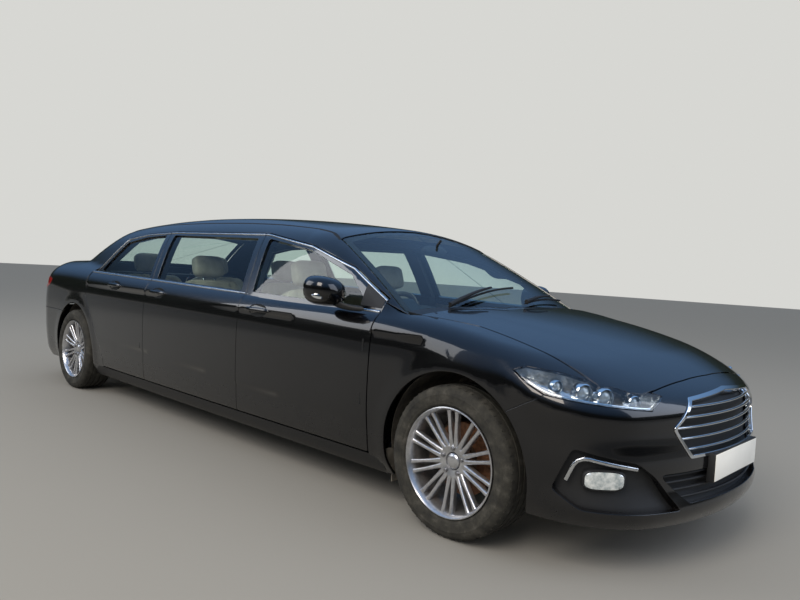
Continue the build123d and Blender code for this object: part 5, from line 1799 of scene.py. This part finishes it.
class Mirrors(bpy.types.Operator):
    """Makes the door mirrors with their glass, indicator strip and stalk"""
    bl_idname = "limousine.mirrors"
    bl_label = "Door mirrors"

    def execute(self, context):
        for side in ("left", "right"):
            body = f"front_door_{side}"
            parts = (self.shell, self.glass, self.indicator, self.stalk, self.sail)
            made = [part(side, body) for part in parts]
            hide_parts(f"door_mirror_{side}")
            if side == "right":
                for thing in made:
                    flip(thing)
        return {"FINISHED"}

    def ring(self, x, scale, count=40):
        """A rounded section of the mirror's housing at a place along the car."""
        out = []
        for a in turns(count):
            c, s = math.cos(a), math.sin(a)
            wide = 0.108 if c > 0 else 0.094
            tall = 0.078 if s > 0 else 0.07
            y = MIRROR_Y + wide * scale * boxy(c, 0.78)
            z = MIRROR_Z + tall * scale * boxy(s, 0.78) + (y - MIRROR_Y) * 0.12
            out.append((AXLE_X + x * MM, y, z))
        return out

    def shell(self, side, body):
        """The painted housing."""
        rings = [self.ring(*row) for row in MIRROR_HOUSING]
        return loft(f"mirror_{side}_housing", rings, "paint", body, angle=60)

    def glass(self, side, body):
        """The mirror's glass, just behind the housing."""
        rings = [self.ring(*row) for row in MIRROR_GLASS]
        return loft(f"mirror_{side}_glass", rings, "mirror", body, angle=60)

    def indicator(self, side, body):
        """The clear strip that wraps round the housing's outer lower front."""
        rows = []
        for s in np.linspace(0, 1, 15):
            a = math.radians(-52 + 58 * s)
            x = -742 - 56 * max(0, s - 0.3)
            scale = np.interp(x, [-780, -750, -730], [0.97, 0.88, 0.74]) * 1.012
            y = MIRROR_Y + 0.108 * scale * math.cos(a) ** 0.78
            z = MIRROR_Z - 0.024 * (1 - s * 0.3)
            thick = 0.009 * math.sin(math.pi * min(1, 0.15 + s * 0.85)) + 0.003
            section = [(0.002, 0.002, thick), (0.004, 0.004, 0), (0.002, 0.002, -thick),
                       (-0.012, -0.012, -thick), (-0.012, -0.012, thick)]
            rows.append([(AXLE_X + x * MM + dx, y + dy, z + dz) for dx, dy, dz in section])
        return loft(f"mirror_{side}_indicator", rows, "bright", body, angle=50)

    def stalk(self, side, body):
        """The arm from the door to the housing."""
        sections = []
        for s in np.linspace(0, 1, 9):
            f = -655 - 130 * s
            y = 872 + 78 * s
            z = 950 + 34 * s - 10 * math.sin(math.pi * s)
            long, tall = 46 - 14 * s, 15 + 2 * s
            sections.append([(AXLE_X + (f + long * math.cos(a)) * MM, y * MM, (z + tall * math.sin(a)) * MM)
                             for a in turns(20)])
        return loft(f"mirror_{side}_stalk", sections, "trim", body, angle=60)

    def sail(self, side, body):
        """The dark triangle at the front corner of the door's window."""
        line = softened(placed([(-516, 962), (-516, 1003), (-600, 1046), (-662, 1078), (-662, 968)]), 0.006)
        part = shell_parts(upper, "side", line, spacing=0.03, thick=0.012, inset=-0.002)
        thing = build(f"mirror_{side}_sail", *joined([part]), [MATERIALS["trim"]] * 2)
        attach(thing, body)
        return thing


PAD_ROWS = 24


def pad(name, centre, size, tilt, finish, body, crown=0.03, channels=(), fullness=0.3):
    """A stuffed cushion: a crowned closed form with sewn channels, in a seat's own axes."""
    long, wide, tall = size
    rings = []
    for j in range(1, PAD_ROWS):
        b = math.pi * (j / PAD_ROWS - 0.5)
        cb, sb = boxy(math.cos(b), fullness), boxy(math.sin(b), fullness)
        ring = []
        for a in turns(56):
            ca, sa = boxy(math.cos(a), fullness), boxy(math.sin(a), fullness)
            x, y, z = ca * cb, sa * cb, sb
            lift_z = crown * (1 - x * x) * (1 - y * y) if z > 0 else 0
            for axis, at, width, deep in channels:
                here = x if axis == "x" else y
                lift_z -= deep * math.exp(-(((here - at) / width) ** 2)) if z > 0 else 0
            ring.append((x * long / 2, y * wide / 2, z * tall / 2 + lift_z))
        rings.append(ring)
    turn = Matrix.Translation(centre) @ Matrix.Rotation(math.radians(tilt), 4, "Y")
    rings = [[tuple(turn @ Vector(p)) for p in ring] for ring in rings]
    thing = loft(name, rings, finish, body, angle=80)
    return thing


# Each row of seats: cushions' front edge, half the distance between seats, seat width
SEAT_ROWS = [("front", -1010, 370, 500), ("middle", -2260, 370, 520), ("rear", -3330, 332, 600)]
SEAT_BACK, SEAT_LEAN = 560, 17
DASHBOARD_SIDE = [(-445, 646), (-445, 900), (-520, 916), (-632, 921), (-720, 905), (-766, 884), (-792, 850),
                  (-796, 802), (-770, 735), (-755, 704), (-640, 646)]
BINNACLE_SIDE = [(-640, 918), (-660, 962), (-720, 966), (-792, 940), (-792, 880), (-640, 880)]
COLUMN_LEAN = math.radians(24)
COLUMN_HEAD = Vector((AXLE_X - 0.905, -0.37, 0.855))
COLUMN_WAY = Vector((math.cos(COLUMN_LEAN), 0, -math.sin(COLUMN_LEAN)))


def cross_channels(side_depth, *rows):
    """A pad's sewn channels: one along each side, and some across it."""
    sides = [("y", at, 0.045, side_depth) for at in (-0.62, 0.62)]
    return sides + [("x", at, 0.03, deep) for at, deep in rows]


class Interior(bpy.types.Operator):
    """Makes the seats, dashboard, steering wheel, headlining and trims"""
    bl_idname = "limousine.interior"
    bl_label = "Interior"

    def execute(self, context):
        for row, x, half_gap, width in SEAT_ROWS:
            for i, y in enumerate((-half_gap, half_gap)):
                self.seat(f"{row}_seat_{i}", x, y, width, f"{row}_seats" if i == 0 else None)
        self.steering_wheel()
        self.dashboard()
        self.trims()
        return {"FINISHED"}

    def seat(self, name, x, y, width, node_name):
        """A seat's cushion, back and headrest, each a stuffed pad, on a plain base."""
        wide = width * MM
        centre = Vector((AXLE_X + (x - 262) * MM, y * MM, 0.405))
        channels = cross_channels(0.016, (0.1, 0.008), (-0.35, 0.008))
        size = (0.52, wide - 0.004, 0.165)
        cushion = pad(f"{name}_cushion", centre, size, -3, "leather", "body", 0.02, channels)
        if node_name:
            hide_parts(node_name)
        foot = Vector((AXLE_X + (x - 560) * MM, y * MM, (440 + SEAT_BACK / 2) * MM))
        channels = cross_channels(0.014, (0.25, 0.007), (-0.2, 0.007))
        size = (SEAT_BACK * MM, wide - 0.022, 0.128)
        pad(f"{name}_back", foot, size, 90 - SEAT_LEAN, "leather", "body", 0.012, channels)
        lean = math.radians(SEAT_LEAN)
        up = Vector((-math.sin(lean), 0, math.cos(lean)))
        ahead = Vector((math.cos(lean), 0, math.sin(lean)))
        rest = foot + up * (SEAT_BACK / 2 + 112) * MM + ahead * 0.008
        size = (0.168, 0.258, 0.088)
        pad(f"{name}_headrest", rest, size, 90 - SEAT_LEAN, "leather", "body", 0.008, (), 0.45)
        for k, letter in ((-1, "a"), (1, "b")):
            a = foot + up * (SEAT_BACK / 2 - 20) * MM + Vector((0, k * 0.05, 0))
            post = f"{name}_headrest_post_{letter}"
            tube(post, [a, a + up * 0.09], [0.0065, 0.0065], "satin_metal", "body")
        low, high = (x - 440, y - width / 2 + 90, 197), (x - 80, y + width / 2 - 90, 330)
        block(f"{name}_base", low, high, "trim", "body", bevel=0.012)

    def steering_wheel(self):
        """The rim, boss and three spokes."""
        centre, axis = COLUMN_HEAD, COLUMN_WAY
        rim = [(0.182 + 0.0145 * math.cos(a), 0.0125 * math.sin(a)) for a in turns(16)]
        thing = turned(
            "steering_wheel_rim", rim, centre, axis, "dark_leather", "steering_wheel", 72, angle=60)
        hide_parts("steering_wheel")
        boss = [(0.0005, -0.03), (0.05, -0.027), (0.068, -0.012), (0.07, 0.01), (0.05, 0.03), (0.0005, 0.03)]
        turned(
            "steering_wheel_boss", boss, centre, axis, "trim", "steering_wheel", 40, close=False,
            angle=50)
        u = Vector((0, 1, 0))
        down = axis.cross(u).normalized()
        if down.z > 0:
            down = -down
        for name, way in (("left", u), ("right", -u), ("lower", down)):
            path = [centre + way * r - axis * d for r, d in ((0.05, 0.0), (0.11, -0.004), (0.178, 0.0))]
            sections = []
            side = axis.cross(way)
            for p, w in zip(path, (0.026, 0.019, 0.022)):
                sections.append(
                    [p + side * (w * math.cos(a)) + axis * (0.008 * math.sin(a)) for a in turns(16)]
                )
            loft(f"steering_wheel_spoke_{name}", sections, "trim", "steering_wheel", angle=60)
        tube(
            "steering_wheel_shaft", [centre + axis * 0.02, centre + axis * 0.08], [0.0118, 0.0118], "trim",
            "steering_wheel")

    def dashboard(self):
        """A wrapped dash with a binnacle, vents and a console; it stands for the CAD dashboard."""
        ring = softened(placed(DASHBOARD_SIDE), 0.02, 0.03)
        sections = [[(px, y, pz) for px, pz in ring] for y in np.linspace(-0.742, 0.742, 31)]
        dash = loft("dashboard_panel", sections, "trim", "body", angle=50)
        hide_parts("dashboard")
        block(
            "dashboard_band", (-797, -735, 775), (-789, 735, 800), "satin_metal", "body",
            bevel=0.003)
        ring = softened(placed(BINNACLE_SIDE), 0.02, 0.02)
        sections = [[(px, COLUMN_HEAD.y + y, pz - 0.02 * (abs(y) / 0.17) ** 3) for px, pz in ring]
                    for y in np.linspace(-0.17, 0.17, 13)]
        loft("dashboard_binnacle", sections, "trim", "body", angle=50)
        for i, y in enumerate((-0.66, -0.07, 0.07, 0.66)):
            vent = [
                (0.0005, 0.0), (0.030, 0.0), (0.032, 0.004), (0.038, 0.004), (0.039, -0.012), (0.0005, -0.012)
            ]
            place = (AXLE_X - 0.795, y, 0.845)
            turned(
                f"dashboard_vent_{i}", vent, place, (-1, 0, 0.05), "satin_metal", "body", 36,
                close=False)
        block("centre_console", (-1348, -96, 290), (-602, 96, 656), "trim", "body", bevel=0.02)
        column = [COLUMN_HEAD + COLUMN_WAY * along for along in (0.06, 0.19)]
        tube("steering_column_shroud", column, [0.042, 0.046], "trim", "body", count=20)

    def trims(self):
        """The headlining."""
        half = [(-1110, 0), (-1085, 600), (-1300, 560), (-2200, 545), (-3300, 540), (-3700, 520), (-3840, 0)]
        part = shell_parts(upper, "top", top_ring(half, 0.03), spacing=0.06, thick=0.006, inset=0.022)
        paint("headlining", [part], "body", front="headlining", slot="trim")


FINISHES = {
    "inner_paint": ("cowl", "sills", "cant_rails", "door_posts"),
    "carpet": ("floor_pan", "parcel_shelf"),
    "grey_liner": ("wheel_liners",),
    "flap": ("mud_flaps",),
    "steel": ("front_frame", "rear_frame", "fuel_tank"),
    "exhaust_steel": ("exhaust",),
    "iron": ("knuckle_left", "knuckle_right", "engine"),
}


class Finishes(bpy.types.Operator):
    """Gives the CAD pieces that stay their real finishes"""
    bl_idname = "limousine.finishes"
    bl_label = "Finishes of the frame's pieces"

    def execute(self, context):
        for finish, nodes in FINISHES.items():
            for name in nodes:
                for slot in bpy.data.objects[name].material_slots:
                    slot.material = MATERIALS[finish]
        return {"FINISHED"}


PHOTO_POINT = (1821.4, -3172.4, 1141.0)
PHOTO_YAW, PHOTO_PITCH, PHOTO_ROLL = 133.573, 2.325, -3.3195
PHOTO_LENS = 30.54


class Stage(bpy.types.Operator):
    """Makes the floor, the lights and the camera"""
    bl_idname = "limousine.stage"
    bl_label = "Stage"

    def execute(self, context):
        scene = bpy.context.scene
        scene.view_settings.view_transform = "Standard"
        mesh = bpy.data.meshes.new("studio_floor")
        size = 60
        mesh.from_pydata(
            [(-size, -size, 0), (size, -size, 0), (size, size, 0), (-size, size, 0)], [], [(0, 1, 2, 3)])
        material, tree, shader = new_material("pale_floor")
        put(shader, Base_Color=hexa("#8a8986"), Roughness=0.9)
        mesh.materials.append(material)
        floor = bpy.data.objects.new("studio_floor", mesh)
        scene.collection.objects.link(floor)
        self.sky(scene)
        for name, place, aim, size, power, colour in (
            ("key", (3.5, -9, 7.5), (0.5, 0, 0.5), 6, 900, "#fff4e6"),
            ("fill", (9, 3, 5), (0.5, 0, 0.6), 6, 260, "#e8f0ff"),
            ("rear", (-7, -8, 6), (0, 0, 0.7), 6, 300, "#ffffff"),
        ):
            light = bpy.data.lights.new(name, "AREA")
            light.shape, light.size, light.energy, light.color = "SQUARE", size, power, hexa(colour)[:3]
            thing = bpy.data.objects.new(name, light)
            thing.location = place
            thing.rotation_euler = (Vector(aim) - Vector(place)).to_track_quat("-Z", "Y").to_euler()
            scene.collection.objects.link(thing)
        self.camera(scene)
        return {"FINISHED"}

    def sky(self, scene):
        """A pale surround, with a darker horizon and brighter top that the paint mirrors."""
        world = bpy.data.worlds.new("studio")
        world.use_nodes = True
        tree = world.node_tree
        tree.nodes.clear()
        where = node(tree, "ShaderNodeTexCoord").outputs["Generated"]
        height = node(tree, "ShaderNodeSeparateXYZ", Vector=where).outputs[2]
        value = span(tree, height, -1, 1)
        stops = [
            (0.0, "#8a8a88"), (0.495, "#8f8f8c"), (0.505, "#1d211c"), (0.58, "#2a3128"), (0.66, "#5f7fa6"),
            (0.8, "#7fa9dd"), (1.0, "#8db8f0")]
        seen_sky = ramp(tree, value, stops)
        plain_sky = node(tree, "ShaderNodeBackground", Color=hexa("#dcdcd8"), Strength=0.95)
        mirrored_sky = node(tree, "ShaderNodeBackground", Color=seen_sky, Strength=0.9)
        path = node(tree, "ShaderNodeLightPath")
        mixed = node(
            tree, "ShaderNodeMixShader", i0=path.outputs["Is Glossy Ray"], i1=plain_sky.outputs[0],
            i2=mirrored_sky.outputs[0])
        output = node(tree, "ShaderNodeOutputWorld")
        tree.links.new(mixed.outputs[0], output.inputs[0])
        scene.world = world

    def camera(self, scene):
        """The camera that took the photograph, fitted to the car."""
        camera = bpy.data.cameras.new("photo_camera")
        camera.lens, camera.sensor_width, camera.clip_start = PHOTO_LENS, 36, 0.05
        thing = bpy.data.objects.new("photo_camera", camera)
        yaw, pitch, roll = (math.radians(v) for v in (PHOTO_YAW, PHOTO_PITCH, PHOTO_ROLL))
        forward = Vector((math.cos(pitch) * math.cos(yaw), math.cos(pitch) * math.sin(yaw), -math.sin(pitch)))
        right = forward.cross(Vector((0, 0, 1))).normalized()
        down = forward.cross(right)
        right_turned = right * math.cos(roll) + down * math.sin(roll)
        down_turned = down * math.cos(roll) - right * math.sin(roll)
        frame_of = Matrix((right_turned, -down_turned, -forward)).transposed().to_4x4()
        frame_of.translation = Vector(
            (AXLE_X + PHOTO_POINT[0] * MM, PHOTO_POINT[1] * MM, PHOTO_POINT[2] * MM)
        )
        thing.matrix_world = frame_of
        scene.collection.objects.link(thing)
        scene.camera = thing


class LimousinePanel(bpy.types.Panel):
    """Lists the sizes and colours, and a button for each group of pieces"""
    bl_idname = "VIEW3D_PT_limousine"
    bl_label = "Six-door limousine"
    bl_space_type = "VIEW_3D"
    bl_region_type = "UI"
    bl_category = "Limousine"

    def draw(self, context):
        column = self.layout.column()
        for name in Settings.__annotations__:
            column.prop(context.scene.limousine, name)
        for step in STEPS:
            column.operator(step.bl_idname)


STEPS = [BodyPanels, Doors, Glass, FrontEnd, Tail, Wheels, Mirrors, Interior, Finishes, Stage]


def register():
    bpy.utils.register_class(Settings)
    for step in STEPS:
        bpy.utils.register_class(step)
    bpy.utils.register_class(LimousinePanel)
    bpy.types.Scene.limousine = bpy.props.PointerProperty(type=Settings)


def unregister():
    del bpy.types.Scene.limousine
    bpy.utils.unregister_class(LimousinePanel)
    for step in reversed(STEPS):
        bpy.utils.unregister_class(step)
    bpy.utils.unregister_class(Settings)


def main():
    """Makes the whole car in order."""
    register()
    make_materials()
    for step in STEPS:
        group, name = step.bl_idname.split(".")
        getattr(getattr(bpy.ops, group), name)()


if __name__ == "__main__":
    main()
